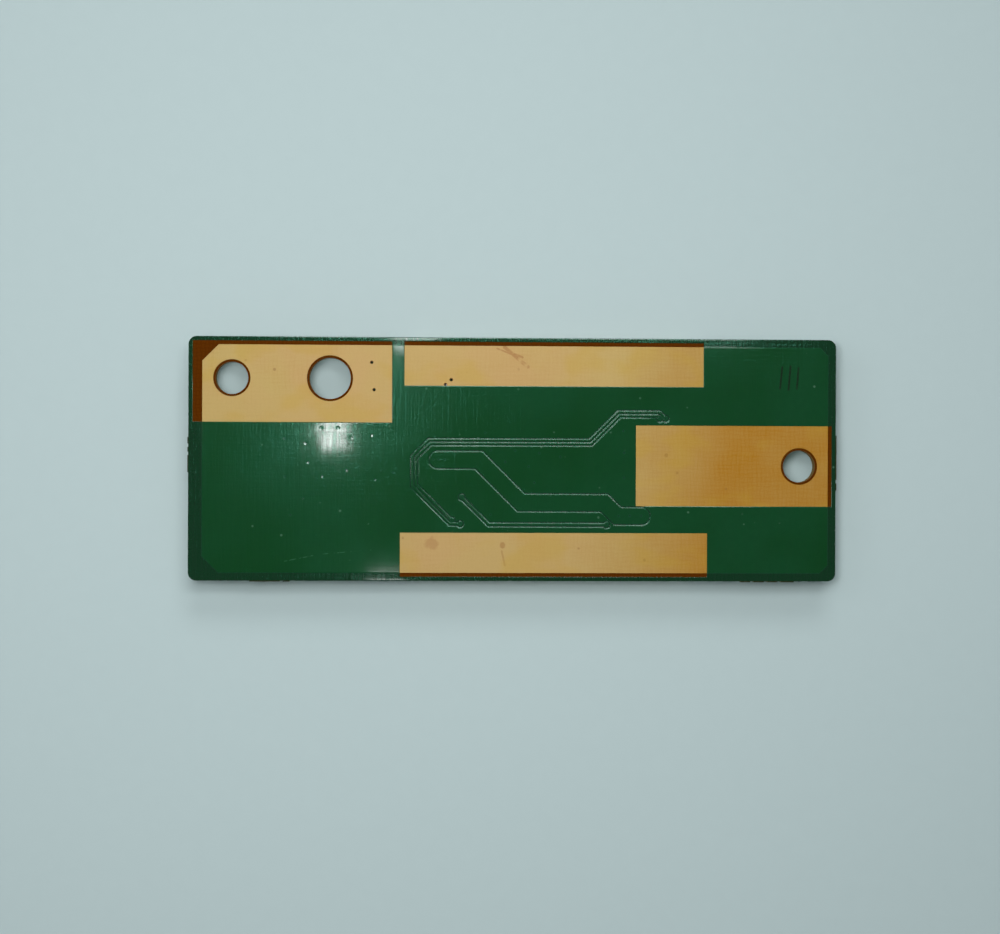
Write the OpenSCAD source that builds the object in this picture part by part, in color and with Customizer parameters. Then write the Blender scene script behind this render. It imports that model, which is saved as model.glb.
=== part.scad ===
// Display cable adapter board: a two-layer printed circuit board that joins two 30-way
// flat-display plugs. The gold-plated ground side faces +Z; the two right-angle
// receptacles and the chip parts hang on the component side, and the board rests on them.
// Origin: middle of the board outline, on the plane under the receptacle shells.
// +X runs along the board, +Y across it. Millimetres.

/* [Board] */
// Length of the board outline
board_l = 80; // [78:0.5:110]
// Width of the board outline
board_w = 30; // [30:0.5:50]
// Finished thickness, laminate with foil and mask on both sides
board_t = 1.6; // [0.8:0.1:3.2]
// Radius of the outline's corners
corner_r = 1.0; // [0.5:0.1:1.5]
// Thickness of the plated copper foil
foil_t = 0.05; // [0.03:0.005:0.1]
// Thickness of the solder mask over copper
mask_t = 0.03; // [0.02:0.005:0.05]
// Height of the mask over a gap, above the copper's face
mask_in_gap = 0.01; // [0.005:0.005:0.015]
// How far the broken-off panel tabs stand out of the edge
tab_stub = 0.1; // [0.05:0.01:0.2]
// Radius of the perforation bites beside the tabs
tab_bite_r = 0.22; // [0.15:0.01:0.3]

/* [Mounting holes] */
// Diameter of the two screw holes
screw_d = 4.0; // [2.5:0.1:4.5]
// Diameter of the wide hole
wide_d = 5.1; // [3:0.1:5.5]
// Distance of the left screw hole from the left edge
left_hole_inset = 5.3; // [4:0.1:7]
// Distance of the left holes from the top edge
left_hole_drop = 5.1; // [4:0.1:6]
// Distance between the left screw hole and the wide hole
hole_pitch = 12; // [8:0.5:14]
// Distance of the right screw hole from the right edge
right_hole_inset = 4.6; // [4:0.1:7]
// How far the copper stays clear of each hole
hole_clear = 0.28; // [0.15:0.01:0.4]

/* [Ground copper] */
// Bare rim of the board beyond the copper at the left end
rim_left = 1.7; // [0.8:0.1:2]
// Bare rim of the board beyond the copper on the other sides
rim = 1.0; // [0.8:0.1:1.5]
// Chamfer of the copper's left corners
chamfer_left = 2.0; // [0.5:0.1:3]
// Chamfer of the copper's right corners
chamfer_right = 1.0; // [0.5:0.1:3]
// Gap between a track and the copper around it
gap = 0.2; // [0.12:0.01:0.25]

/* [Mask windows] */
// Distance of a window from the board's edge
window_rim = 0.52; // [0.3:0.01:0.7]
// Length of the two ground pads
pad_l = 24.4; // [22:0.1:26]
// Width of the two ground pads
pad_w = 9.98; // [9:0.01:11]
// How far the right pad's middle lies below the middle of the board
right_pad_drop = 0.72; // [0:0.01:2]
// Length of the bare strip behind the upper receptacle
upper_strip_l = 37; // [34:0.1:40]
// Length of the bare strip behind the lower receptacle
lower_strip_l = 38; // [34:0.1:40]
// Width of both bare strips
strip_w = 5.42; // [4:0.01:6.5]

/* [Tracks] */
// Width of a signal track
signal_w = 0.23; // [0.15:0.01:0.25]
// Width of the control track
control_w = 0.28; // [0.15:0.01:0.35]
// Width of the supply track
supply_w = 2.0; // [1:0.1:2.2]
// Diameter of a signal via's land
land_d = 0.62; // [0.5:0.01:0.7]
// Drilled diameter of a signal via
drill_d = 0.3; // [0.2:0.01:0.4]
// Drilled diameter of a ground via
ground_drill_d = 0.42; // [0.3:0.01:0.5]
// Plating thickness in a via
plating = 0.04; // [0.02:0.005:0.06]
// Space between the lands of the two upper signal vias
land_space = 0.08; // [0.06:0.01:0.12]
// How far a track reaches into its pad
lap = 0.2; // [0.1:0.05:0.4]

/* [Receptacles] */
// Number of contacts
ways = 30; // [26:1:30]
// Distance between contacts
pitch = 1.0; // [0.9:0.05:1.0]
// Place of both receptacles along the board
conn_x = 4.95; // [3:0.05:6]
// Distance of the mouth from the board's edge
mouth_inset = 0.5; // [0.2:0.05:1]
// Height of a receptacle above its pads
conn_h = 3.0; // [2.6:0.1:4]
// Depth of a receptacle from its mouth to its rear wall
conn_d = 5.1; // [4.5:0.1:5.3]
// Distance from the last contact to the housing's end
end_l = 2.5; // [2:0.1:3]
// Thickness of the housing's end walls
end_wall = 1.1; // [0.8:0.1:1.4]
// Thickness of the housing's base and of its tongue
web = 0.55; // [0.4:0.05:0.7]
// Thickness of the housing's rear wall
rear_wall = 1.1; // [0.8:0.1:1.5]
// Width of a contact's pad
pad_width = 0.55; // [0.45:0.05:0.6]
// Length of a contact's pad beyond the end of the tail
toe = 0.15; // [0.1:0.01:0.3]
// Distance of the contact pads from the shell's rear edge
heel = 0.05; // [0.03:0.01:0.1]
// Gap under the housing
standoff = 0.1; // [0.06:0.01:0.15]
// Thickness of the shell's sheet
shell_t = 0.2; // [0.15:0.01:0.25]
// Length of a hold-down foot
foot_l = 1.3; // [0.8:0.1:1.6]
// Width of a hold-down foot
foot_w = 1.2; // [0.8:0.1:1.4]
// Distance of a foot's middle from the mouth, and from the shell's rear edge
foot_inset = 1.1; // [0.9:0.05:1.3]
// Number of spring fingers cut in the shell
fingers = 6; // [2:1:8]
// Distance of a lock window's middle from the housing's end
lock_inset = 1.9; // [1.5:0.1:2.2]
// Width of a contact
contact_w = 0.3; // [0.2:0.01:0.4]
// Thickness of a contact's sheet
contact_t = 0.15; // [0.1:0.01:0.2]
// Length of a contact's tail behind the rear wall
tail_l = 1.1; // [0.9:0.05:1.2]

/* [Chip parts] */
// Length, width and height of a supply capacitor
cap_size = [2.0, 1.25, 0.85]; // [0.5:0.05:2.5]
// Length, width and height of the supply fuse
fuse_size = [3.2, 1.6, 0.6]; // [0.4:0.05:4]
// Length, width and height of the control link
link_size = [1.6, 0.8, 0.45]; // [0.4:0.05:2.5]
// Thickness of the plated end caps
cap_plate = 0.05; // [0.03:0.01:0.08]

/* [Hidden] */

$fn = 64;
EPS = 0.5;              // overrun of a cutting body past the faces it cuts
ARC_STEPS = 8;          // segments of a quarter turn in a drawn outline

// Levels, from the plane under the shells upwards
z_pad = conn_h;                     // faces of the component-side pads
z_lam = z_pad + foil_t;             // laminate's lower face
lam_t = board_t - 2 * (foil_t + mask_t);
z_foil = z_lam + lam_t;             // laminate's upper face, under the back foil

// Places on the board
x_left = -board_l / 2;
x_right = board_l / 2;
y_top = board_w / 2;
y_bottom = -board_w / 2;
right_pad_y = -right_pad_drop;
left_hole = [x_left + left_hole_inset, y_top - left_hole_drop];
wide_hole = left_hole + [hole_pitch, 0];
right_hole = [x_right - right_hole_inset, right_pad_y];
HOLES = [[left_hole, screw_d], [wide_hole, wide_d], [right_hole, screw_d]];

// Mask windows on the ground side, each as [low corner, high corner]
left_window = [[x_left + window_rim, y_top - window_rim - pad_w],
    [x_left + window_rim + pad_l, y_top - window_rim]];
right_window = [[x_right - window_rim - pad_l, right_pad_y - pad_w / 2],
    [x_right - window_rim, right_pad_y + pad_w / 2]];
upper_strip = [[conn_x - upper_strip_l / 2, y_top - window_rim - strip_w],
    [conn_x + upper_strip_l / 2, y_top - window_rim]];
lower_strip = [[conn_x - lower_strip_l / 2, y_bottom + window_rim],
    [conn_x + lower_strip_l / 2, y_bottom + window_rim + strip_w]];
BACK_WINDOWS = [left_window, right_window, upper_strip, lower_strip];

// Receptacles: contact places and the plan of the pads under their tails
function pin_x(i) = conn_x + (i - (ways - 1) / 2) * pitch;
last = ways - 1;
mouth_y = y_top - mouth_inset;      // the upper receptacle's mouth
tail_end = conn_d + tail_l;         // this and the next two are distances behind the mouth
pad_from = conn_d + heel;
pad_to = tail_end + toe;
tail_y = mouth_y - pad_to;          // inner ends of the upper contact pads
contact_pad = [pad_width, pad_to - pad_from];
row_y = mouth_y - (pad_from + pad_to) / 2;
housing_l = (ways - 1) * pitch + 2 * end_l;
shell_l = housing_l + 2 * shell_t;
shell_rise = conn_h - shell_t;      // underside of the shell's top sheet
FEET = [foot_inset, conn_d - foot_inset];
shell_pad = [foot_l + 0.6, foot_w + 0.5];

// Uses of the contacts, numbered from the left
UPPER_SUPPLY = [2, 3];
UPPER_CONTROL = 5;
UPPER_PAIRS = [6:3:last - 11];      // first contact of each straight pair
LOWER_CONTROL = last - 8;
LOWER_SUPPLY = [last - 2, last - 1, last];

// ---------------------------------------------------------------- outline functions

function unit(v) = v / norm(v);
function left_of(v) = [-v[1], v[0]];
function heading(a, b) = atan2(b[1] - a[1], b[0] - a[0]);
function reversed(v) = [for (i = [len(v) - 1:-1:0]) v[i]];
function arc(c, r, from, to, n = ARC_STEPS) =
    [for (i = [0:n]) let (a = from + (to - from) * i / n) c + r * [cos(a), sin(a)]];

// Point at distance h to the left of a route's point i
function beside(route, i, h) =
    let (n = len(route) - 1,
        before = left_of(unit(route[max(i, 1)] - route[max(i, 1) - 1])),
        after = left_of(unit(route[min(i, n - 1) + 1] - route[min(i, n - 1)])))
    route[i] + h * (before + after) / (1 + before * after);

// Route at a constant distance h to the left of another
function parallel(route, h) = [for (i = [0:len(route) - 1]) beside(route, i, h)];

// End of a band that goes round point c, with its heading a
function end_cap(c, w, a, n) = arc(c, w / 2, a - 90, a + 90, n);

// Outline of a band of width w along a route, with round ends of 2n segments or flat ones
function band(route, w, n = ARC_STEPS) =
    let (m = len(route) - 1)
    n == 0 ? concat(parallel(route, -w / 2), reversed(parallel(route, w / 2)))
    : concat([if (m > 1) for (i = [1:m - 1]) beside(route, i, -w / 2)],
        end_cap(route[m], w, heading(route[m - 1], route[m]), 2 * n),
        [if (m > 1) for (i = [m - 1:-1:1]) beside(route, i, w / 2)],
        end_cap(route[0], w, heading(route[1], route[0]), 2 * n));

// Point reached from p at 45 degrees on the level y, going towards the side s of X
function slant(p, y, s) = [p[0] + s * abs(y - p[1]), y];

// Rectangle with chamfers of a at its left corners and b at its right ones
function chamfered(lo, hi, a, b) = [
    [lo[0] + a, lo[1]], [hi[0] - b, lo[1]], [hi[0], lo[1] + b], [hi[0], hi[1] - b],
    [hi[0] - b, hi[1]], [lo[0] + a, hi[1]], [lo[0], hi[1] - a], [lo[0], lo[1] + a]];

function rounded(lo, hi, r) = concat(
    arc([hi[0] - r, hi[1] - r], r, 0, 90), arc([lo[0] + r, hi[1] - r], r, 90, 180),
    arc([lo[0] + r, lo[1] + r], r, 180, 270), arc([hi[0] - r, lo[1] + r], r, 270, 360));

// Rectangles given as [low corner, high corner]
module boxes(list, grow = 0) for (b = list)
    translate(b[0] - [grow, grow]) square(b[1] - b[0] + 2 * [grow, grow]);
module dots(places, d) for (p = places) translate(p) circle(d = d, $fn = 24);

// ---------------------------------------------------------------- routes on the ground side

// Level d above the inner ends of the lower contact pads
function tail_low_y(d) = d - tail_y;

supply_y = -0.04;                   // levels of the supply track and of the pair above it
pair_step = signal_w + gap;         // between the middles of the two signal tracks
pair_high_y = tail_y - 2.45;
pair_mid_y = supply_y + 2.22;
pair_left_x = pin_x(0) - 2.8;

lower_via_a = [pin_x(3) - 0.1, tail_low_y(0.2)];
lower_via_b = [pin_x(2) - 0.15, tail_low_y(0.65)];
upper_via_a = [pin_x(last - 1) + 0.3, tail_y - 3];
upper_via_b = upper_via_a - [land_d + land_space, 0];
pair_foot = [pair_left_x, tail_low_y(4.94)];    // where the pair turns up along the left
pair_head = [pair_left_x, supply_y + 0.31];
pair_turn = [pin_x(last - 10) - 0.02, pair_mid_y];  // where it turns up towards the upper vias
pair_route = [slant(pair_foot, tail_low_y(0.66), 1), pair_foot, pair_head,
    slant(pair_head, pair_mid_y, 1), pair_turn, slant(pair_turn, pair_high_y, 1),
    [upper_via_a[0] - 1.15, pair_high_y]];
outer_side = parallel(pair_route, pair_step / 2);
inner_side = parallel(pair_route, -pair_step / 2);
outer_end = outer_side[len(outer_side) - 1];
inner_end = inner_side[len(inner_side) - 1];
outer_route = concat([lower_via_a, slant(outer_side[0], lower_via_a[1], 1)],
    [for (i = [1:len(outer_side) - 1]) outer_side[i]],
    [[upper_via_a[0] - (outer_end[1] - upper_via_a[1]), outer_end[1]], upper_via_a]);
inner_route = concat([lower_via_b], [for (i = [1:len(inner_side) - 1]) inner_side[i]],
    [[upper_via_b[0] - (inner_end[1] - upper_via_b[1]), inner_end[1]], upper_via_b]);

supply_end_y = right_window[0][1] - supply_w / 2 - gap;
supply_mid_y = supply_end_y + 1.62;
supply_start = [pin_x(0) + 0.15, supply_y];
supply_knee = [pin_x(5) + 0.19, supply_y];
supply_low = slant(supply_knee, supply_mid_y, 1);
supply_turn = [pin_x(LOWER_CONTROL) - 0.25, supply_mid_y];
supply_end = [pin_x(last - 4) + 0.3, supply_end_y];
supply_route = [supply_start, supply_knee, supply_low, supply_turn,
    slant(supply_turn, supply_end_y, 1), supply_end];

control_y = tail_low_y(0.14);
control_start = [pin_x(3) + 0.08, tail_low_y(3.51)];
control_end = [pin_x(LOWER_CONTROL), control_y];
control_route = [control_start, slant(control_start, control_y, 1), control_end];

SIGNAL_VIAS = [lower_via_a, lower_via_b, upper_via_a, upper_via_b, control_start, control_end];
SUPPLY_VIAS = concat([for (k = [-0.6, 0.1, 0.8]) supply_start + [k, 0]],
    [for (k = [-2.8, -1.4, 0]) supply_end + [k, 0]]);

// Ground vias, as places from the corner or point that they are set out from
PAD_VIAS = [[-2.5, -2.6], [-2.2, -5.95]];           // upper right corner of the left pad
STRIP_VIAS = [[5.75, 0.75], [5.05, 0.15]];          // lower left corner of the upper strip
FIELD_VIAS = [[15.7, -0.7], [17.8, -0.7], [19.4, -1.85], [13.9, -2.6], [11.3, -2],
    [14.2, -4.9], [11.3, -6.7], [15.9, -6.6], [21.8, -1.6], [13.6, -9.35], [12, -11.4],
    [22.3, -7], [18.8, -5.8]];                      // lower left corner of the left pad
RIGHT_VIAS = [[-1.58, 9.3], [-1.48, 6.6], [-1.48, 3.5]];    // lower left corner of the right pad
FOOT_VIA = [-2.55, 1.56];                           // foot of the pair
// Contact that the straight pair beside a via starts at, distance from that pair, and level
PAIR_VIAS = [[6, -1.55, 3.3], [6, -0.85, 1.1], [9, -0.85, 1.1], [12, -0.85, 0.8], [15, -1.25, 0.35],
    [6, 0.95, -0.3], [9, 0.85, -0.85], [12, -1.45, -2.85], [6, -0.85, -6.8]];
GROUND_VIAS = concat([for (p = PAD_VIAS) left_window[1] + p], [for (p = STRIP_VIAS) upper_strip[0] + p],
    [for (p = FIELD_VIAS) left_window[0] + p], [for (p = RIGHT_VIAS) right_window[0] + p],
    [pair_foot + FOOT_VIA], [for (v = PAIR_VIAS) [pin_x(v[0] + 1) + pitch / 2 + v[1], v[2]]]);

// ---------------------------------------------------------------- routes on the component side

drop = (pitch - pair_step) / 2;     // the tracks of a pair close up over this length
pair_lead = 0.6;                    // straight stretch before the pair moves over

// Middle of the straight pair that starts at contact i: it moves over by one contact
function pair_middle(i) = let (x = pin_x(i) + pitch / 2, turn = [x, tail_y - drop - pair_lead])
    [[x, tail_y - drop], turn, slant(turn, turn[1] - pitch, 1), [x + pitch, drop - tail_y]];

// Middle of the pair that goes from the last upper contacts to the upper vias
exit_mid = (upper_via_a + upper_via_b) / 2 + [0, 0.5];
exit_x = pin_x(last - 1) - pitch / 2;
EXIT_MIDDLE = [[exit_x, tail_y - drop], [exit_x, exit_mid[1] + exit_mid[0] - exit_x], exit_mid];

// Start of a track in the upper pad of contact i
function pad_start(i) = [[pin_x(i), tail_y + lap], [pin_x(i), tail_y]];

// Track on the side s of a straight pair's middle, from upper to lower pad
function pair_track(i, s) = let (k = i + (s + 1) / 2)
    concat(pad_start(k), parallel(pair_middle(i), s * pair_step / 2),
        [[pin_x(k + 1), -tail_y], [pin_x(k + 1), -tail_y - lap]]);

SIGNAL_FRONT = concat([for (i = UPPER_PAIRS, s = [-1, 1]) pair_track(i, s)],
    [[[pin_x(3), -tail_y - lap], [pin_x(3), -tail_y], lower_via_a],
    [[pin_x(2), -tail_y - lap], [pin_x(2), -tail_y], lower_via_b],
    concat(pad_start(last - 1), parallel(EXIT_MIDDLE, pair_step / 2), [upper_via_a]),
    concat(pad_start(last - 2), parallel(EXIT_MIDDLE, -pair_step / 2), [upper_via_b])]);
SIGNAL_FRONT_VIAS = [lower_via_a, lower_via_b, upper_via_a, upper_via_b];
UPPER_SIGNALS = concat([for (i = UPPER_PAIRS, k = [0, 1]) i + k], [last - 2, last - 1]);
LOWER_SIGNALS = concat([for (i = UPPER_PAIRS, k = [1, 2]) i + k], [2, 3]);

// Chip parts: place, turn and size
fuse_at = [[pin_x(1), 3.2], 90, fuse_size];
link_at = [[control_start[0], 1.2], 90, link_size];
upper_cap_at = [[fuse_at[0][0] - 3.4, tail_y - 1.3], 0, cap_size];
lower_cap_at = [[pin_x(last) + 1.85, supply_end_y], 180, cap_size];
CHIPS = [fuse_at, link_at, upper_cap_at, lower_cap_at];
pad_side = 0.1;                     // how far a chip's pads reach past its sides and end caps
pad_toe = 0.4;                      // and past its ends
function end_l_of(size) = 0.2 * size[0];    // length of an end cap
function pad_near(size) = size[0] / 2 - end_l_of(size) - pad_side;  // from the chip's middle
function pad_far(size) = size[0] / 2 + pad_toe;

// Supply copper on the component side, as [low corner, high corner]
upper_supply_x = [pin_x(UPPER_SUPPLY[0]) - pad_width / 2, pin_x(UPPER_SUPPLY[1]) + pad_width / 2];
fuse_half = fuse_size[1] / 2 + pad_side;
UPPER_FEED = [
    [[upper_supply_x[0], tail_y - 2], [upper_supply_x[1], tail_y + lap]],
    [[upper_cap_at[0][0] + pad_near(cap_size), tail_y - 2], [upper_supply_x[1], tail_y - 0.6]],
    [fuse_at[0] + [-fuse_half, pad_near(fuse_size)], [fuse_at[0][0] + fuse_half, tail_y - 1]]];
MIDDLE_FEED = [[[supply_start[0] - 1.1, supply_start[1] - 0.7],
    fuse_at[0] + [fuse_half, -pad_near(fuse_size)]]];
LOWER_FEED = [
    [[supply_end[0] - 3.4, supply_end_y - 0.7],
        [lower_cap_at[0][0] - pad_near(cap_size), supply_end_y + 0.8]],
    [[pin_x(last - 2) - pad_width / 2, -tail_y - lap],
        [pin_x(last) + pad_width / 2, supply_end_y]]];
FEEDS = concat(UPPER_FEED, MIDDLE_FEED, LOWER_FEED);

control_turn = [pin_x(UPPER_CONTROL), tail_y - 2.15];
CONTROL_FRONT = [
    [[pin_x(UPPER_CONTROL), tail_y + lap], control_turn,
        slant(control_turn, control_turn[1] - control_turn[0] + link_at[0][0], -1),
        link_at[0] + [0, link_size[0] / 2]],
    [link_at[0] - [0, link_size[0] / 2], control_start],
    [control_end, [control_end[0], -tail_y - lap]]];

// ---------------------------------------------------------------- layers of the board

module outline() polygon(rounded([x_left, y_bottom], [x_right, y_top], corner_r));

// Broken-off panel tab: stands out of the edge at point p over the length l, turned by a
module tab(p, l, a) translate(p) rotate(a) translate([-l / 2, -EPS]) square([l, EPS + tab_stub]);

// Perforation bites in the edge at p, at the distances in list at, turned by a
module bites(p, at, a) translate(p) rotate(a)
    for (x = at) translate([x, tab_stub]) circle(r = tab_bite_r);

LEFT_TAB = [[x_left, 0.45], 4.3, 90];
RIGHT_TAB = [[x_right, -0.3], 7.2, -90];
LOWER_TAB_A = [[x_left + 9.95, y_bottom], 4.9, 180];
LOWER_TAB_B = [[x_right - 8.5, y_bottom], 6.6, 180];
TABS = [[LEFT_TAB, [0.15, 1.15]], [RIGHT_TAB, [-3.6, 2.3, 3.6]], [LOWER_TAB_A, [-1.45]],
    [LOWER_TAB_B, [-1.5, 0.2, 1.9]]];

module laminate() color([0.42, 0.28, 0.1]) translate([0, 0, z_lam]) linear_extrude(lam_t)
    difference() {
        union() {
            outline();
            for (t = TABS) tab(t[0][0], t[0][1], t[0][2]);
        }
        for (t = TABS) bites(t[0][0], t[1], t[0][2]);
        for (h = HOLES) translate(h[0]) circle(d = h[1]);
        drills();
    }

module drills() {
    dots(GROUND_VIAS, ground_drill_d);
    dots(concat(SIGNAL_VIAS, SUPPLY_VIAS), drill_d);
}

module copper_field() difference() {
    polygon(chamfered([x_left + rim_left, y_bottom + rim], [x_right - rim, y_top - rim],
        chamfer_left, chamfer_right));
    for (h = HOLES) translate(h[0]) circle(d = h[1] + 2 * hole_clear);
}

module back_tracks(grow = 0) {
    polygon(band(outer_route, signal_w + 2 * grow));
    polygon(band(inner_route, signal_w + 2 * grow));
    polygon(band(control_route, control_w + 2 * grow));
    polygon(band(supply_route, supply_w + 2 * grow));
    dots(SIGNAL_VIAS, land_d + 2 * grow);
}

module back_foil() translate([0, 0, z_foil]) linear_extrude(foil_t) children();

module ground_copper_back() color([0.8, 0.64, 0.35]) back_foil() difference() {
    copper_field();
    back_tracks(gap);
    dots(GROUND_VIAS, ground_drill_d);
}

module supply_track_back() color([0.72, 0.45, 0.2]) back_foil() difference() {
    polygon(band(supply_route, supply_w));
    dots(SUPPLY_VIAS, drill_d);
}

module signal_track(route, ends) color([0.72, 0.45, 0.2]) back_foil() difference() {
    union() {
        polygon(band(route, signal_w));
        dots(ends, land_d);
    }
    dots(ends, drill_d);
}

module signal_track_outer() signal_track(outer_route, [lower_via_a, upper_via_a]);
module signal_track_inner() signal_track(inner_route, [lower_via_b, upper_via_b]);

module control_track_back() color([0.72, 0.45, 0.2]) back_foil() difference() {
    union() {
        polygon(band(control_route, control_w));
        dots([control_start, control_end], land_d);
    }
    dots([control_start, control_end], drill_d);
}

module mask_field(windows) difference() {
    outline();
    boxes(windows);
    for (h = HOLES) translate(h[0]) circle(d = h[1] + 2 * hole_clear);
}

// Ground-side mask: it fills the gaps and lies over the copper, a little lower in the gaps
module solder_mask_back() color([0.08, 0.3, 0.15]) translate([0, 0, z_foil]) {
    linear_extrude(foil_t) difference() {
        mask_field(BACK_WINDOWS);
        difference() {
            copper_field();
            back_tracks(gap);
        }
        back_tracks();
    }
    translate([0, 0, foil_t]) linear_extrude(mask_in_gap) mask_field(BACK_WINDOWS);
    translate([0, 0, foil_t + mask_in_gap]) linear_extrude(mask_t - mask_in_gap) difference() {
        mask_field(BACK_WINDOWS);
        difference() {
            back_tracks(gap);
            back_tracks();
        }
    }
}

// ---------------------------------------------------------------- component side of the board

module front_foil() translate([0, 0, z_pad]) linear_extrude(foil_t) children();

// Pads of the contacts in the list, of the upper row (s = 1) or the lower one (s = -1)
module pads(pins, s, grow = [0, 0]) for (i = pins)
    translate([pin_x(i), s * row_y]) square(contact_pad + 2 * grow, center = true);

module chip_pads(c, grow = 0) let (size = c[2], l = pad_far(size) - pad_near(size))
    translate(c[0]) rotate(c[1]) for (e = [-1, 1])
        translate([e * (pad_near(size) + l / 2), 0])
            square([l + 2 * grow, size[1] + 2 * (pad_side + grow)], center = true);

module signal_copper(grow = 0) {
    for (r = SIGNAL_FRONT) polygon(band(r, signal_w + 2 * grow, 0));
    dots(SIGNAL_FRONT_VIAS, land_d + 2 * grow);
}
module control_copper(grow = 0) {
    for (r = CONTROL_FRONT) polygon(band(r, control_w + 2 * grow, 0));
    dots([control_start, control_end], land_d + 2 * grow);
    chip_pads(link_at, grow);
}
module supply_copper(grow = 0) boxes(FEEDS, grow);

// Every contact that carries no signal, supply or control joins the ground copper
function grounded(s) = let (used = s > 0 ? concat(UPPER_SIGNALS, UPPER_SUPPLY, [UPPER_CONTROL])
        : concat(LOWER_SIGNALS, LOWER_SUPPLY, [LOWER_CONTROL]))
    [for (i = [0:last]) if (len(search(i, used)) == 0) i];

// Ground copper that stays clear of both contact rows and of every track
module front_pour() difference() {
    copper_field();
    for (s = [-1, 1]) translate([conn_x, s * row_y])
        square([last * pitch, 0] + contact_pad + 2 * [gap, gap], center = true);
    signal_copper(gap);
    control_copper(gap);
    supply_copper(gap);
}

// Grounded contact pads, long enough to join the pour on both sides of their row
module ground_pads() for (s = [-1, 1]) pads(grounded(s), s, [0, gap + lap / 4]);

module ground_copper_front() color([0.75, 0.5, 0.25]) front_foil() difference() {
    union() {
        front_pour();
        ground_pads();
    }
    dots(GROUND_VIAS, ground_drill_d);
}

module signal_tracks_front() color([0.75, 0.5, 0.25]) front_foil() difference() {
    union() {
        signal_copper();
        pads(UPPER_SIGNALS, 1);
        pads(LOWER_SIGNALS, -1);
    }
    dots(SIGNAL_FRONT_VIAS, drill_d);
}

module supply_copper_front() color([0.75, 0.5, 0.25]) front_foil() difference() {
    union() {
        supply_copper();
        pads(UPPER_SUPPLY, 1);
        pads(LOWER_SUPPLY, -1);
    }
    dots(SUPPLY_VIAS, drill_d);
}

module control_tracks_front() color([0.75, 0.5, 0.25]) front_foil() difference() {
    union() {
        control_copper();
        pads([UPPER_CONTROL], 1);
        pads([LOWER_CONTROL], -1);
    }
    dots([control_start, control_end], drill_d);
}

module shell_pads() for (s = [-1, 1], e = [-1, 1], f = FEET)
    translate([conn_x + e * (shell_l + foot_l) / 2, s * (mouth_y - f)])
        square(shell_pad, center = true);

module front_mask_field() difference() {
    mask_field([]);
    for (s = [-1, 1]) pads([0:last], s);
    shell_pads();
    for (c = CHIPS) chip_pads(c);
}

module solder_mask_front() color([0.08, 0.3, 0.15]) {
    translate([0, 0, z_pad]) linear_extrude(foil_t) difference() {
        front_mask_field();
        front_pour();
        ground_pads();
        signal_copper();
        control_copper();
        supply_copper();
    }
    translate([0, 0, z_pad - mask_t]) linear_extrude(mask_t) front_mask_field();
}

// ---------------------------------------------------------------- vias

module barrels(places, d) color([0.75, 0.5, 0.25]) translate([0, 0, z_pad])
    linear_extrude(lam_t + 2 * foil_t) difference() {
        dots(places, d);
        dots(places, d - 2 * plating);
    }
module ground_vias() barrels(GROUND_VIAS, ground_drill_d);
module signal_vias() barrels(SIGNAL_VIAS, drill_d);
module supply_vias() barrels(SUPPLY_VIAS, drill_d);

// ---------------------------------------------------------------- printed lines

line_w = 0.15;
line_t = 0.02;
line_clear = 0.3;                           // between a line and the part that it frames
frame_x = shell_l / 2 + foot_l + line_clear + 0.25;    // from the receptacles' middle
frame_hook = 2.4;                           // length of a frame's turned-in end
mark_d = 0.7;                               // the triangle beside the first contact

module chip_lines(c) translate(c[0]) rotate(c[1]) for (s = [-1, 1])
    translate([0, s * (c[2][1] / 2 + line_clear)]) square([2 * pad_far(c[2]), line_w], center = true);

module silkscreen_lines() color("white") translate([0, 0, z_pad - mask_t - line_t])
    linear_extrude(line_t) {
        for (s = [-1, 1], e = [-1, 1]) let (x = conn_x + e * frame_x)
            polygon(band([[x, s * (mouth_y - line_clear)], [x, s * (tail_y + line_clear)],
                [x - e * frame_hook, s * (tail_y + line_clear)]], line_w, 0));
        for (c = CHIPS) chip_lines(c);
        for (s = [-1, 1]) translate([pin_x(s > 0 ? 0 : last) - s * 0.9, s * (tail_y + line_clear)])
            rotate(-90 * s) circle(d = mark_d, $fn = 3);
    }

// ---------------------------------------------------------------- receptacles
// Drawn with the pads at z = 0 and the mouth in the plane y = 0, and turned over to hang
// from the component side.

module on_front() translate([0, 0, z_pad]) mirror([0, 0, 1]) children();
module upper_place() on_front() translate([conn_x, mouth_y, 0]) children();
module lower_place() on_front() translate([conn_x, -mouth_y, 0]) rotate(180) children();

// Extrusion along X of a drawing in the YZ plane, and back from the mouth of one in XZ
module along_x(l) translate([-l / 2, 0, 0]) rotate([90, 0, 90]) linear_extrude(l) children();
module along_depth(l) rotate([90, 0, 0]) linear_extrude(l) children();

tongue_z = standoff + 2 * web;      // underside of the tongue that carries the contacts
tongue_tip = 0.8;                   // distance of the tongue's tip behind the mouth
beam_sunk = 0.05;                   // how deep the contacts lie in the tongue
beam_z = tongue_z + web - beam_sunk;
slot_clear = 0.03;
slot_w = contact_w + 2 * slot_clear;
comb_depth = 0.4;                   // of the slots in the rear wall that the contacts come down
lead = 0.15;                        // bevel of the edges that a plug meets
bend = 0.3;                         // bevel of the shell's folds

module housing_section() difference() {
    translate([-conn_d, standoff]) square([conn_d, shell_rise - standoff]);
    translate([-conn_d + rear_wall, standoff + web]) square([conn_d, conn_h]);
}

module tongue_section() polygon([[-conn_d + rear_wall / 2, tongue_z], [-tongue_tip - lead, tongue_z],
    [-tongue_tip, tongue_z + lead], [-tongue_tip, tongue_z + web - lead],
    [-tongue_tip - lead, tongue_z + web], [-conn_d + rear_wall / 2, tongue_z + web]]);

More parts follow.
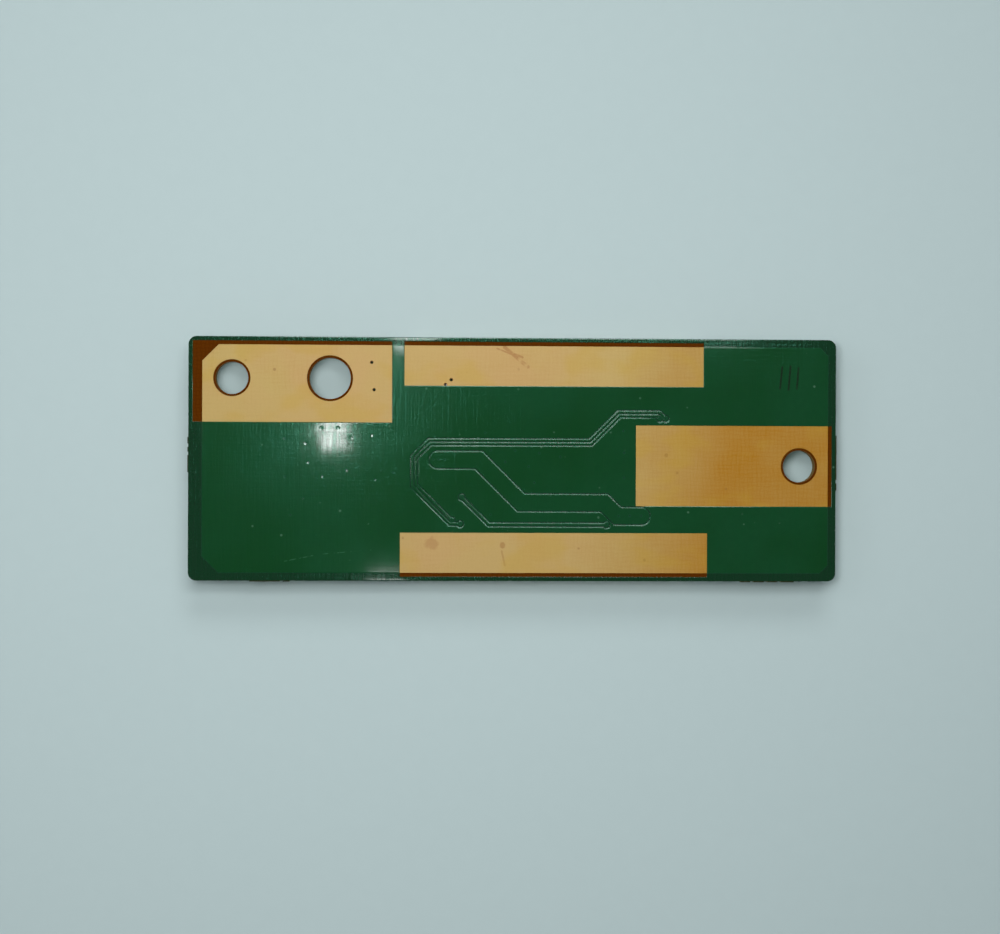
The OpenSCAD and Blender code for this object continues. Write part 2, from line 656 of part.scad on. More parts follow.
module housing_ends() for (e = [0, 1]) mirror([e, 0, 0]) along_depth(conn_d) polygon([
    [housing_l / 2 - end_wall, standoff], [housing_l / 2, standoff],
    [housing_l / 2, shell_rise - bend], [housing_l / 2 - bend, shell_rise],
    [housing_l / 2 - end_wall, shell_rise]]);

module housing() color([0.93, 0.91, 0.84]) difference() {
    union() {
        housing_ends();
        along_x(housing_l - end_wall) housing_section();
        along_x(housing_l - end_wall) tongue_section();
    }
    for (i = [0:last]) translate([(i - last / 2) * pitch, 0, 0]) {
        translate([-slot_w / 2, -conn_d - EPS, beam_z])
            cube([slot_w, conn_d + EPS - tongue_tip - lead, contact_t + slot_clear]);
        translate([-slot_w / 2, -conn_d - EPS, standoff - EPS])
            cube([slot_w, comb_depth + EPS, beam_z + contact_t - standoff + EPS]);
    }
}

// Middle line of a contact, from its tip on the tongue to the end of its soldered tail
riser = conn_d + 0.3;               // distance of its upright stretch behind the mouth
fold = 0.2;
half_t = contact_t / 2;
contact_line = [[-tongue_tip - lead - 0.1, beam_z + half_t], [fold - riser, beam_z + half_t],
    [-riser, beam_z + half_t - fold], [-riser, half_t + fold], [-riser - fold, half_t],
    [-tail_end, half_t]];

module contacts() color([0.85, 0.7, 0.35]) for (i = [0:last])
    translate([(i - last / 2) * pitch, 0, 0]) along_x(contact_w) polygon(band(contact_line, contact_t, 0));

fillet = 0.25;                      // how far solder climbs and spreads

// Solder behind and in front of each tail, a little inside the pad's outline
module tail_solder() color([0.75, 0.77, 0.78]) let (a = beside(contact_line, 3, half_t),
        b = beside(contact_line, 4, half_t), rim = 0.02)
    for (i = [0:last]) translate([(i - last / 2) * pitch, 0, 0]) along_x(pad_width - 2 * rim) {
        polygon([b, [-pad_from - rim, 0], [a[0], a[1] + fillet], a]);
        polygon([[-pad_to + rim, 0], [-tail_end, 0], [-tail_end, contact_t]]);
    }

half_s = shell_t / 2;               // the shell is drawn along the middle of its sheet
wall_x = shell_l / 2 - half_s;
foot_end = shell_l / 2 + foot_l;
shell_half = [[wall_x - bend, conn_h - half_s], [wall_x, conn_h - half_s - bend],
    [wall_x, half_s + bend], [wall_x + bend, half_s], [foot_end, half_s]];
shell_line = concat(reversed([for (p = shell_half) [-p[0], p[1]]]), shell_half);
finger_size = [1.3, 2.2];
finger_cut = 0.25;                  // width of the slot round a finger
finger_back = 0.2;                  // how far the fingers lie towards the mouth
finger_step = (housing_l - 2 * lock_inset) / (fingers + 1);
lock_window = [1.6, 1.2];
foot_lift = 0.45;                   // height of the shell's edge between its feet

// Slot round three sides of a spring finger
module finger_slot() difference() {
    square(finger_size + [2 * finger_cut, finger_cut], center = true);
    translate([0, finger_cut]) square(finger_size + [0, finger_cut], center = true);
}

module shell_cuts() {
    for (k = [0:fingers - 1]) translate([(k - (fingers - 1) / 2) * finger_step, finger_back - conn_d / 2])
        finger_slot();
    for (e = [-1, 1]) translate([e * (housing_l / 2 - lock_inset), -conn_d / 2])
        square(lock_window, center = true);
}

module shell() color([0.78, 0.79, 0.8]) difference() {
    along_depth(conn_d) polygon(band(shell_line, shell_t, 0));
    translate([0, 0, shell_rise - half_s]) linear_extrude(shell_t + EPS) shell_cuts();
    let (w = foot_w / 2)
        for (e = [-1, 1],
            cut = [[-EPS, FEET[0] - w], [FEET[0] + w, FEET[1] - w], [FEET[1] + w, conn_d + EPS]])
            translate([e * foot_end, -(cut[0] + cut[1]) / 2, (foot_lift - EPS) / 2])
                cube([2 * (foot_l + 2 * shell_t), cut[1] - cut[0], foot_lift + EPS], center = true);
}

// Solder along the end and both sides of each hold-down foot
module shell_solder() color([0.75, 0.77, 0.78]) for (e = [0, 1], f = FEET)
    mirror([e, 0, 0]) translate([0, -f, 0]) {
        translate([0, foot_w / 2, 0]) along_depth(foot_w)
            polygon([[foot_end, 0], [foot_end + fillet, 0], [foot_end, shell_t]]);
        for (s = [0, 1]) mirror([0, s, 0]) translate([foot_end - foot_l / 2 + half_s, 0, 0])
            along_x(foot_l - shell_t)
                polygon([[foot_w / 2, 0], [foot_w / 2 + fillet, 0], [foot_w / 2, shell_t]]);
    }

module upper_housing() upper_place() housing();
module upper_shell() upper_place() shell();
module upper_contacts() upper_place() contacts();
module upper_tail_solder() upper_place() tail_solder();
module upper_shell_solder() upper_place() shell_solder();
module lower_housing() lower_place() housing();
module lower_shell() lower_place() shell();
module lower_contacts() lower_place() contacts();
module lower_tail_solder() lower_place() tail_solder();
module lower_shell_solder() lower_place() shell_solder();

// ---------------------------------------------------------------- chip parts

module chip_place(c) on_front() translate(c[0]) rotate(c[1]) children();
module chip_core(size) translate([0, 0, size[2] / 2]) cube(size - 2 * cap_plate * [1, 1, 1], center = true);
module chip_body(c, tint) color(tint) chip_place(c) chip_core(c[2]);
module chip_ends(c) color([0.8, 0.8, 0.8]) chip_place(c) let (size = c[2], l = end_l_of(size))
    difference() {
        for (e = [-1, 1]) translate([e * (size[0] - l) / 2, 0, size[2] / 2])
            cube([l, size[1], size[2]], center = true);
        chip_core(size);
    }

module upper_capacitor() chip_body(upper_cap_at, [0.62, 0.5, 0.36]);
module upper_capacitor_ends() chip_ends(upper_cap_at);
module lower_capacitor() chip_body(lower_cap_at, [0.62, 0.5, 0.36]);
module lower_capacitor_ends() chip_ends(lower_cap_at);
module supply_fuse() chip_body(fuse_at, [0.9, 0.9, 0.86]);
module supply_fuse_ends() chip_ends(fuse_at);
module control_link() chip_body(link_at, [0.12, 0.12, 0.13]);
module control_link_ends() chip_ends(link_at);

module chip_solder() color([0.75, 0.77, 0.78]) for (c = CHIPS) chip_place(c)
    let (size = c[2]) for (e = [0, 1]) mirror([e, 0, 0]) translate([0, size[1] / 2, 0])
        along_depth(size[1]) polygon([[size[0] / 2, 0], [pad_far(size) - cap_plate, 0],
            [size[0] / 2, size[2] / 2]]);

laminate();
ground_copper_back();
supply_track_back();
signal_track_outer();
signal_track_inner();
control_track_back();
solder_mask_back();
ground_copper_front();
signal_tracks_front();
supply_copper_front();
control_tracks_front();
solder_mask_front();
silkscreen_lines();
ground_vias();
signal_vias();
supply_vias();
upper_housing();
upper_shell();
upper_contacts();
upper_tail_solder();
upper_shell_solder();
lower_housing();
lower_shell();
lower_contacts();
lower_tail_solder();
lower_shell_solder();
upper_capacitor();
upper_capacitor_ends();
lower_capacitor();
lower_capacitor_ends();
supply_fuse();
supply_fuse_ends();
control_link();
control_link_ends();
chip_solder();
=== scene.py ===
"""Looks of the display adapter board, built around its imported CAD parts."""

import math

import bmesh
import bpy
import numpy as np
from mathutils import Matrix, Vector
from mathutils.bvhtree import BVHTree
from mathutils.geometry import delaunay_2d_cdt


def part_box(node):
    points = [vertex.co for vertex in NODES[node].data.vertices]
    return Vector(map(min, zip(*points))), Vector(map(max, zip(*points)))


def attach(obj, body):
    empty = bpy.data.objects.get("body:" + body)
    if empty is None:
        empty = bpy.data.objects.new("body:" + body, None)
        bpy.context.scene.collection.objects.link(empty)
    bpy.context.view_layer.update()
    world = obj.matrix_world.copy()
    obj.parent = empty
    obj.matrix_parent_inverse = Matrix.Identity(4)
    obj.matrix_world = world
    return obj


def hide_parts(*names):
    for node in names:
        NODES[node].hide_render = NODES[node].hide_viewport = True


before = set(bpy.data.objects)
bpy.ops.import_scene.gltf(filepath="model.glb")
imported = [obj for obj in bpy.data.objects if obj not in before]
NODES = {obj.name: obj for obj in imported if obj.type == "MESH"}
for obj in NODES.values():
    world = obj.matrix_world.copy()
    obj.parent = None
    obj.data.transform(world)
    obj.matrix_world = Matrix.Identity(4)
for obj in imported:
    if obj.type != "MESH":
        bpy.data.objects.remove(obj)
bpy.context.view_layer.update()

bl_info = {
    "name": "Display adapter board",
    "version": (1, 0, 0),
    "blender": (4, 5, 0),
    "location": "3D View > Sidebar > Adapter board",
    "description": "Dresses the packed adapter board: mask, plating, receptacles, solder and a plain stage",
    "category": "Object",
}

MM = 0.001

# Copper nodes of each side. The first one's box gives the levels of that side
GROUND_SIDE_COPPER = (
    "ground_copper_back",
    "supply_track_back",
    "signal_track_outer",
    "signal_track_inner",
    "control_track_back",
)
PART_SIDE_COPPER = (
    "ground_copper_front",
    "signal_tracks_front",
    "supply_copper_front",
    "control_tracks_front",
)
ROWS = ("upper", "lower")
# Chip parts, each with its body's finish and slot
CHIPS = (
    ("upper_capacitor", "capacitor_ceramic", "capacitor_body"),
    ("lower_capacitor", "capacitor_ceramic", "capacitor_body"),
    ("supply_fuse", "fuse_ceramic", "fuse_body"),
    ("control_link", "link_ferrite", "link_body"),
)


def tone(red, green, blue):
    """Linear colour of an 8-bit display colour."""
    return tuple(
        c / 12.92 if c <= 0.04045 else ((c + 0.055) / 1.055) ** 2.4
        for c in (red / 255, green / 255, blue / 255)
    )


# ---------------------------------------------------------------- sizes and colours that a user would change


def length(title, note, default, low=0.0, high=0.01):
    """Length property, in metres."""
    return bpy.props.FloatProperty(
        name=title, description=note, default=default, min=low, max=high, unit="LENGTH", precision=6
    )


def paint(title, note, default):
    """Colour property."""
    return bpy.props.FloatVectorProperty(
        name=title, description=note, default=default, min=0.0, max=1.0, size=3, subtype="COLOR"
    )


class BoardSizes(bpy.types.PropertyGroup):
    """Sizes of the fine shapes."""

    ramp: length("Mask ramp", "Width of the mask's slope beside a copper edge", 0.08 * MM)
    lip: length("Mask lip", "Width of the mask's rounded edge at a window", 0.09 * MM)
    over_gap: length("Mask in gaps", "Thickness of the mask where there is no copper", 0.05 * MM)
    dimple: length("Via dimple", "Depth of the mask's dimple over a drilled via", 0.006 * MM)
    plastic_edge: length("Plastic edge", "Rounding of the housings' edges", 0.04 * MM)
    sheet_edge: length("Sheet edge", "Rounding of the shells' and contacts' edges", 0.03 * MM)
    chip_edge: length("Chip edge", "Rounding of the chip parts' edges", 0.06 * MM)
    solder_reach: length("Solder reach", "How far a solder fillet spreads from the metal", 0.24 * MM)
    solder_climb: length("Solder climb", "How far a solder fillet climbs the metal", 0.16 * MM)
    weave: length("Glass weave", "Distance between the threads of the glass cloth", 0.52 * MM)


class BoardColours(bpy.types.PropertyGroup):
    """Colours of the finishes."""

    mask: paint("Mask over copper", "Solder mask where copper lies under it", tone(16, 64, 28))
    mask_bare: paint("Mask over laminate", "Solder mask where no copper lies under it", tone(20, 52, 32))
    gold: paint("Gold plating", "Plated ground pads", tone(194, 166, 102))
    tarnish: paint("Tarnish", "Darker film on the plating", tone(176, 120, 8))
    laminate: paint("Laminate", "Bare resin and glass", tone(78, 36, 0))
    glass: paint("Glass threads", "Threads that show in the laminate", tone(150, 118, 62))
    copper: paint("Copper", "Foil and plated barrels", tone(190, 118, 70))
    ink: paint("Printed ink", "Printed lines of the component side", tone(232, 232, 224))
    marker: paint("Marker ink", "Inspection strokes", tone(12, 34, 18))
    plastic: paint("Housing plastic", "Moulded receptacle housings", tone(232, 226, 206))
    sheet: paint("Plated sheet", "Tin-plated shells", tone(206, 207, 206))
    solder: paint("Solder", "Solder fillets", tone(190, 193, 194))
    capacitor: paint("Capacitor body", "Fired ceramic", tone(168, 138, 100))
    fuse: paint("Fuse body", "Pale ceramic", tone(226, 226, 216))
    link: paint("Link body", "Dark ferrite", tone(44, 44, 47))
    floor: paint("Floor", "Plain pale floor", tone(192, 208, 209))


def sizes():
    """Sizes of the fine shapes, as the panel has them."""
    return bpy.context.scene.board_sizes


def colours():
    """Colours of the finishes, as the panel has them."""
    return bpy.context.scene.board_colours


# ---------------------------------------------------------------- shader recipes


class Wire:
    """Output socket of a node, with the usual arithmetic as Math nodes."""

    def __init__(self, recipe, socket):
        self.recipe = recipe
        self.socket = socket

    def ahead(self, operation, *others, clamp=False):
        """Math node with this value first."""
        inputs = dict(enumerate((self, *others)))
        return self.recipe.add("Math", {"operation": operation, "use_clamp": clamp}, inputs)

    def behind(self, operation, other):
        """Math node with this value second."""
        return self.recipe.add("Math", {"operation": operation}, {0: other, 1: self})

    def __add__(self, other):
        return self.ahead("ADD", other)

    def __radd__(self, other):
        return self.behind("ADD", other)

    def __sub__(self, other):
        return self.ahead("SUBTRACT", other)

    def __rsub__(self, other):
        return self.behind("SUBTRACT", other)

    def __mul__(self, other):
        return self.ahead("MULTIPLY", other)

    def __rmul__(self, other):
        return self.behind("MULTIPLY", other)

    def __truediv__(self, other):
        return self.ahead("DIVIDE", other)

    def __rtruediv__(self, other):
        return self.behind("DIVIDE", other)

    def __pow__(self, other):
        return self.ahead("POWER", other)

    def __neg__(self):
        return self.ahead("MULTIPLY", -1.0)

    def __abs__(self):
        return self.ahead("ABSOLUTE")

    def sine(self):
        return self.ahead("SINE")

    def most(self, other):
        return self.ahead("MAXIMUM", other)

    def clear(self):
        """Kept within 0 and 1."""
        return self.ahead("ADD", 0.0, clamp=True)

    def rise(self, low, high):
        """0 up to low, 1 from high, and smooth between them."""
        return self.recipe.add(
            "MapRange",
            {"interpolation_type": "SMOOTHSTEP"},
            {"Value": self, "From Min": low, "From Max": high, "To Min": 0.0, "To Max": 1.0},
        )

    def fall(self, low, high):
        """1 up to low, 0 from high, and smooth between them."""
        return 1 - self.rise(low, high)


class Recipe:
    """Node tree of one material or of the world. Places are in millimetres."""

    def __init__(self, owner):
        owner.use_nodes = True
        self.owner = owner
        self.tree = owner.node_tree
        self.tree.nodes.clear()

    def add(self, kind, settings=None, inputs=None, output=0):
        """Adds one node: its settings first, then the values or links of its inputs."""
        node = self.tree.nodes.new("ShaderNode" + kind)
        for key, value in (settings or {}).items():
            setattr(node, key, value)
        for key, value in (inputs or {}).items():
            socket = node.inputs[key]
            if isinstance(value, Wire):
                self.tree.links.new(value.socket, socket)
            elif hasattr(value, "__len__") and len(value) == 3 and len(socket.default_value) == 4:
                socket.default_value = (*value, 1.0)
            else:
                socket.default_value = value
        return Wire(self, node.outputs[output]) if len(node.outputs) else None

    def place(self):
        """Place on the object, in millimetres."""
        metres = self.add("TexCoord", output="Object")
        return self.add("VectorMath", {"operation": "SCALE"}, {0: metres, "Scale": 1000.0})

    def axes(self, place):
        """X, Y and Z of a place."""
        node = self.add("SeparateXYZ", inputs={0: place})
        outlets = node.socket.node.outputs
        return [Wire(self, outlets[i]) for i in range(3)]

    def stretch(self, place, x, y, z):
        """A place with each axis multiplied."""
        return self.add("VectorMath", {"operation": "MULTIPLY"}, {0: place, 1: (x, y, z)})

    def noise(self, place, scale, detail=2.0):
        """Cloudy value about 0.5."""
        inputs = {"Vector": place, "Scale": scale, "Detail": detail}
        return self.add("TexNoise", {"noise_dimensions": "3D"}, inputs)

    def cells(self, place, scale):
        """Distance to the nearest of scattered points, in cells."""
        return self.add("TexVoronoi", {"feature": "F1"}, {"Vector": place, "Scale": scale})

    def blend(self, share, first, second):
        """The first colour at a share of 0, the second at 1."""
        return self.add("Mix", {"data_type": "RGBA"}, {0: share, 6: first, 7: second}, output=2)

    def bump(self, height, depth):
        """Normal of a surface that rises by depth, in metres, where the height is 1."""
        return self.add("Bump", {}, {"Strength": 1.0, "Distance": depth, "Height": height})

    def finish(self, shader, kind="OutputMaterial"):
        """Joins the last shader to the output."""
        self.add(kind, {}, {"Surface": shader})
        return self.owner


def recipe(name):
    """Recipe of a material that is new or made over."""
    return Recipe(bpy.data.materials.get(name) or bpy.data.materials.new(name))


SHADER_INPUTS = {
    "colour": "Base Color",
    "rough": "Roughness",
    "metal": "Metallic",
    "normal": "Normal",
    "gloss": "Specular IOR Level",
    "tint": "Specular Tint",
    "coat": "Coat Weight",
    "coat_rough": "Coat Roughness",
}


def surface(mix, **values):
    """The material of a recipe, from a Principled shader with these inputs."""
    inputs = {SHADER_INPUTS[key]: value for key, value in values.items()}
    return mix.finish(mix.add("BsdfPrincipled", {}, inputs))


def glass_cloth(mix, place, pitch_mm):
    """Height of the woven glass under a surface, from 0 to 1: threads across and along, over and under."""
    x, y, _ = mix.axes(place)
    wander = (mix.noise(place, 0.35, 1.0) - 0.5) * 0.8
    turn = math.pi / pitch_mm
    across = ((x + wander) * turn).sine()
    along = ((y + wander) * turn).sine()
    over = (across * along).rise(-0.35, 0.35)
    return abs(across) * over + abs(along) * (1 - over)


def line_mark(x, y, start, end, width):
    """1 on a straight scratch between two places, 0 beside it."""
    dx, dy = end[0] - start[0], end[1] - start[1]
    reach = math.hypot(dx, dy)
    ux, uy = dx / reach, dy / reach
    along = (x - start[0]) * ux + (y - start[1]) * uy
    off = abs((x - start[0]) * -uy + (y - start[1]) * ux)
    outside = (-along).most(along - reach).most(0.0)
    return (off + outside).fall(width * 0.4, width)


def blot(x, y, centre, radius, ragged):
    """1 in a ragged round spot, 0 outside it, with an edge that fades over part of the radius."""
    dx, dy = x - centre[0], y - centre[1]
    far = (dx * dx + dy * dy) ** 0.5 + (ragged - 0.5) * radius * 1.6
    return far.fall(radius * 0.65, radius * 1.35)


def strongest(marks):
    """The strongest of several marks at each place."""
    marks = list(marks)
    whole = marks[0]
    for mark in marks[1:]:
        whole = whole.most(mark)
    return whole


def scratches_at(x, y, scratches):
    """Straight scratches, each given by its start, end, width and strength."""
    return strongest(
        line_mark(x, y, start, end, width) * strength for start, end, width, strength in scratches
    )


def stains_at(x, y, stains, ragged):
    """Round stains, each given by its place, radius and strength."""
    return strongest(
        blot(x, y, centre, radius, ragged) * strength for centre, radius, strength in stains
    )


# ---------------------------------------------------------------- finishes

# Marks on the ground side, in mm: a scratch has its start, end, width and strength, a stain its place,
# radius and strength
MASK_SCRATCHES = (
    ((-28.2, -12.6), (-24.0, -11.75), 0.07, 1.0),
    ((-24.0, -11.75), (-17.6, -11.2), 0.07, 1.0),
)
PAD_SCRATCHES = (
    ((-1.3, 13.9), (1.7, 11.4), 0.3, 1.0),
    ((-0.6, 13.2), (1.0, 12.6), 0.2, 1.0),
    ((-2.2, 13.7), (-0.4, 13.0), 0.14, 1.0),
)
PAD_DRIPS = (((-1.5, -11.3), (-1.1, -13.1), 0.16, 0.7),)
PAD_STAINS = (
    ((-10.2, -10.3), 0.75, 0.8),
    ((-1.4, -10.6), 0.34, 1.0),
    ((18.8, 0.6), 0.24, 0.8),
    ((20.2, -1.6), 0.2, 0.8),
    ((35.8, 1.2), 0.22, 0.8),
)


def green_solder_mask():
    """Glossy green mask over glass cloth, darker where no copper lies under it; its pale lines along copper
    edges are partly thinner mask, partly painted highlight, and its via dots carry painted shade.
    """
    mix = recipe("green_solder_mask")
    place = mix.place()
    x, y, _ = mix.axes(place)
    copper = mix.add("Attribute", {"attribute_name": "copper"}, output="Fac")
    cloud = mix.noise(place, 0.09, 2.0)
    mottle = mix.noise(place, 1.3, 3.0)
    cloth = glass_cloth(mix, place, sizes().weave / MM)
    over_copper = mix.blend(cloud.rise(0.35, 0.7), colours().mask, tone(20, 70, 38))
    over_copper = mix.blend((mottle - 0.5) * 0.5 + 0.25, over_copper, tone(12, 56, 30))
    bare = mix.blend(cloth * 0.6, colours().mask_bare, tone(16, 50, 28))
    colour = mix.blend(copper, bare, over_copper)
    # Pale teal along the copper edges and round the vias: partly the mask thinning there, partly a painted
    # highlight of its slopes.
    thin_edge_and_highlight = (copper * (1 - copper) * 4).clear()
    colour = mix.blend(thin_edge_and_highlight * 0.16, colour, tone(44, 112, 84))
    scuffs = scratches_at(x, y, MASK_SCRATCHES) * mix.noise(place, 1.6, 1.0).rise(0.42, 0.6)
    dust = mix.cells(place, 0.55).fall(0.05, 0.11) * mix.noise(place, 0.7, 1.0).rise(0.5, 0.65)
    colour = mix.blend(scuffs * 0.35, colour, tone(70, 110, 84))
    colour = mix.blend(dust * 0.3, colour, tone(110, 140, 118))
    upright = mix.noise(mix.stretch(place, 4.0, 0.22, 1.0), 1.0, 3.0)
    level = mix.noise(mix.stretch(place, 0.22, 4.0, 1.0), 1.0, 3.0)
    threads = (upright * 0.7 + level * 0.3).rise(0.4, 0.6)
    height = cloth * 0.4 + threads + mottle * 0.2
    normal = mix.bump(height, 0.005 * MM)
    rough = 0.1 + mottle * 0.03 + scuffs * 0.25 + dust * 0.3
    return surface(
        mix,
        colour=colour,
        rough=rough,
        normal=normal,
        gloss=0.34,
        tint=(0.25, 1.0, 0.7, 1.0),
        coat=0.5 + threads * 0.5,
        coat_rough=0.06,
    )


def marker_strokes():
    """Dark marker ink, a little matter than the mask."""
    mix = recipe("marker_strokes")
    place = mix.place()
    worn = mix.noise(place, 2.4, 3.0).rise(0.35, 0.7)
    colour = mix.blend(worn, colours().marker, tone(16, 48, 26))
    return surface(mix, colour=colour, rough=0.45 + worn * 0.2, normal=mix.bump(worn, 0.003 * MM), gloss=0.1)


def gold_plating():
    """Thin gold over copper: the cloth prints through, with tarnish, spots and rubbed lines, and a painted
    shade that darkens it towards the right.
    """
    mix = recipe("immersion_gold")
    place = mix.place()
    x, y, _ = mix.axes(place)
    cloth = glass_cloth(mix, place, sizes().weave / MM)
    cloud = mix.noise(place, 0.12, 3.0)
    fine = mix.noise(place, 3.5, 3.0)
    rubbed_across = mix.noise(mix.stretch(place, 0.5, 9.0, 1.0), 1.0, 2.0)
    rubbed_along = mix.noise(mix.stretch(place, 9.0, 0.5, 1.0), 1.0, 2.0)
    rubbed = rubbed_across * 0.5 + rubbed_along * 0.5
    # Darker, more orange plating towards the right: partly tarnish, partly painted shade standing for less
    # lamp light there.
    tarnish_and_shade_to_right = (x - y * 0.15).rise(6.0, 32.0)
    clouded = (cloud - 0.5) * 0.6 + (0.5 - cloth) * 0.05
    film = (tarnish_and_shade_to_right * 0.9 + clouded + (rubbed - 0.5) * 0.5).clear()
    colour = mix.blend(film, colours().gold, colours().tarnish)
    ragged = mix.noise(place, 1.4, 3.0)
    scratches = scratches_at(x, y, PAD_SCRATCHES) * ragged.rise(0.3, 0.55)
    stains = stains_at(x, y, PAD_STAINS, ragged).most(scratches_at(x, y, PAD_DRIPS))
    specks = mix.cells(place, 0.42).fall(0.05, 0.1) * mix.noise(place, 0.5, 1.0).rise(0.5, 0.62)
    colour = mix.blend(scratches * 0.75, colour, tone(150, 96, 30))
    colour = mix.blend(stains * 0.6, colour, tone(150, 100, 40))
    colour = mix.blend(specks * 0.6, colour, tone(140, 96, 44))
    colour = mix.blend(cloth * 0.05, colour, tone(226, 190, 120))
    pink = mix.noise(place, 0.14, 2.0).rise(0.4, 0.7) * 0.5 + x.rise(-31.0, -24.0) * 0.4
    pink = pink * x.fall(0.0, 18.0)
    yellow = mix.noise(mix.stretch(place, 1.0, 1.6, 1.0), 0.16, 2.0).rise(0.5, 0.68)
    colour = mix.blend(pink * 0.4, colour, tone(204, 158, 112))
    colour = mix.blend(yellow * 0.35, colour, tone(192, 156, 50))
    height = cloth * 0.3 + fine * 0.25 + rubbed * 0.6
    normal = mix.bump(height, 0.006 * MM)
    rough = 0.6 + (fine - 0.5) * 0.2 + film * 0.08
    return surface(mix, colour=colour, rough=rough, metal=0.35, normal=normal)


BOARD_HALF = (40.0, 15.0)  # half the board's length and width, in mm
EDGE_BAND = 0.22  # width of the darker band along the board's edge, in mm
LAYER_PITCH = 0.19  # distance between the glass layers on a cut edge, in mm


def brown_laminate():
    """Resin and glass: brown on its faces, layered on its cut edges."""
    mix = recipe("brown_laminate")
    place = mix.place()
    x, y, z = mix.axes(place)
    facing = abs(mix.axes(mix.add("NewGeometry", output="Normal"))[2])
    cloth = glass_cloth(mix, place, sizes().weave / MM)
    waver = (mix.noise(place, 1.2, 2.0) - 0.5) * 1.5
    layers = abs((z * (math.pi / LAYER_PITCH) + waver).sine())
    frayed = mix.noise(mix.stretch(place, 3.0, 3.0, 14.0), 1.0, 3.0)
    to_end, to_side = (half - EDGE_BAND for half in BOARD_HALF)
    outermost = (abs(x) - to_end).most(abs(y) - to_side).rise(0.0, 0.06)
    face = mix.blend(cloth * 0.45, colours().laminate, tone(98, 50, 2))
    face = mix.blend(outermost * 0.8, face, tone(40, 50, 34))
    cut = mix.blend((layers * 0.5 + frayed * 0.4 - 0.2).clear(), tone(96, 78, 42), colours().glass)
    colour = mix.blend(facing.rise(0.4, 0.7), cut, face)
    height = cloth * facing + (layers + frayed) * (1 - facing)
    normal = mix.bump(height, 0.012 * MM)
    return surface(mix, colour=colour, rough=0.6 + frayed * 0.2, normal=normal, gloss=0.03)


def bare_copper(name, colour, rough, bite):
    """Etched or plated copper."""
    mix = recipe(name)
    place = mix.place()
    grain = mix.noise(place, 9.0, 3.0)
    film = mix.noise(place, 0.8, 2.0)
    shade = mix.blend(film * 0.5, colour, tone(130, 72, 40))
    return surface(mix, colour=shade, rough=rough + grain * 0.2, metal=0.9, normal=mix.bump(grain, bite))


def plated_metal(name, colour, rough, grain_scale, metal=1.0):
    """Rolled and plated sheet, with faint rolling lines and a cloudy film."""
    mix = recipe(name)
    place = mix.place()
    rolled = mix.noise(mix.stretch(place, 0.6, 12.0, 12.0), 1.0, 2.0)
    grain = mix.noise(place, grain_scale, 3.0)
    cloud = mix.noise(place, 0.6, 2.0)
    shade = mix.blend(cloud * 0.4, colour, tuple(c * 0.72 for c in colour))
    height = rolled * 0.6 + grain * 0.4
    return surface(
        mix,
        colour=shade,
        rough=rough + (grain - 0.5) * 0.16 + cloud * 0.08,
        metal=metal,
        normal=mix.bump(height, 0.004 * MM),
    )


def bright_solder():
    """Reflowed solder: bright, with a fine frosted grain."""
    mix = recipe("bright_solder")
    place = mix.place()
    frost = mix.cells(place, 22.0)
    grain = mix.noise(place, 14.0, 3.0)
    shade = mix.blend(frost.rise(0.2, 0.7), colours().solder, tone(158, 160, 160))
    return surface(
        mix,
        colour=shade,
        rough=0.22 + grain * 0.2,
        metal=1.0,
        normal=mix.bump(frost * 0.5 + grain * 0.5, 0.005 * MM),
    )


def moulded_plastic():
    """Cream glass-filled plastic with flow lines and a fine spark-eroded grain."""
    mix = recipe("moulded_plastic")
    place = mix.place()
    grain = mix.noise(place, 20.0, 3.0)
    flow = mix.noise(mix.stretch(place, 0.5, 3.0, 3.0), 1.0, 2.0)
    shade = mix.blend(flow.rise(0.3, 0.8) * 0.5, colours().plastic, tone(220, 210, 184))
    return surface(
        mix, colour=shade, rough=0.5 + grain * 0.15, normal=mix.bump(grain, 0.005 * MM), gloss=0.4
    )


def fired_body(name, colour, speck, rough):
    """Fired ceramic or ferrite with specks."""
    mix = recipe(name)
    place = mix.place()
    grain = mix.noise(place, 16.0, 3.0)
    specks = mix.cells(place, 9.0).fall(0.12, 0.25)
    shade = mix.blend(specks * 0.4 + (grain - 0.4) * 0.3, colour, speck)
    return surface(mix, colour=shade, rough=rough + grain * 0.2, normal=mix.bump(grain, 0.006 * MM))


def printed_ink():
    """White printed lines, slightly uneven."""
    mix = recipe("printed_ink")
    place = mix.place()
    uneven = mix.noise(place, 6.0, 3.0)
    shade = mix.blend(uneven.rise(0.5, 0.8) * 0.6, colours().ink, tone(196, 204, 190))
    return surface(mix, colour=shade, rough=0.5, normal=mix.bump(uneven, 0.004 * MM), gloss=0.35)


# ---------------------------------------------------------------- plan drawings taken from the CAD parts

LEVEL_SLACK = 0.004  # how far off a level a plan triangle may lie, in mm


def plan_triangles(names, side, level=None):
    """Triangles of these nodes that face along Z on one side, as plan points in mm and index triples.
    With a level, only those that lie in it."""
    points, triples = [], []
    for name in names:
        mesh = NODES[name].data
        mesh.calc_loop_triangles()
        co = np.empty(len(mesh.vertices) * 3)
        mesh.vertices.foreach_get("co", co)
        co = co.reshape(-1, 3) / MM
        tri = np.empty(len(mesh.loop_triangles) * 3, int)
        mesh.loop_triangles.foreach_get("vertices", tri)
        tri = tri.reshape(-1, 3)
        a, b, c = co[tri[:, 0]], co[tri[:, 1]], co[tri[:, 2]]
        normal = np.cross(b - a, c - a)
        size = np.linalg.norm(normal, axis=1)
        facing = (side * normal[:, 2] > 0.9 * size) & (size > 1e-9)
        if level is not None:
            facing &= abs(a[:, 2] - level) < LEVEL_SLACK
        triples.append(tri[facing] + sum(len(p) for p in points))
        points.append(co[:, :2])
    points = np.vstack(points)
    triples = np.vstack(triples)
    keys, where = np.unique(np.round(points, 4), axis=0, return_inverse=True)
    return keys, where.reshape(-1)[triples]


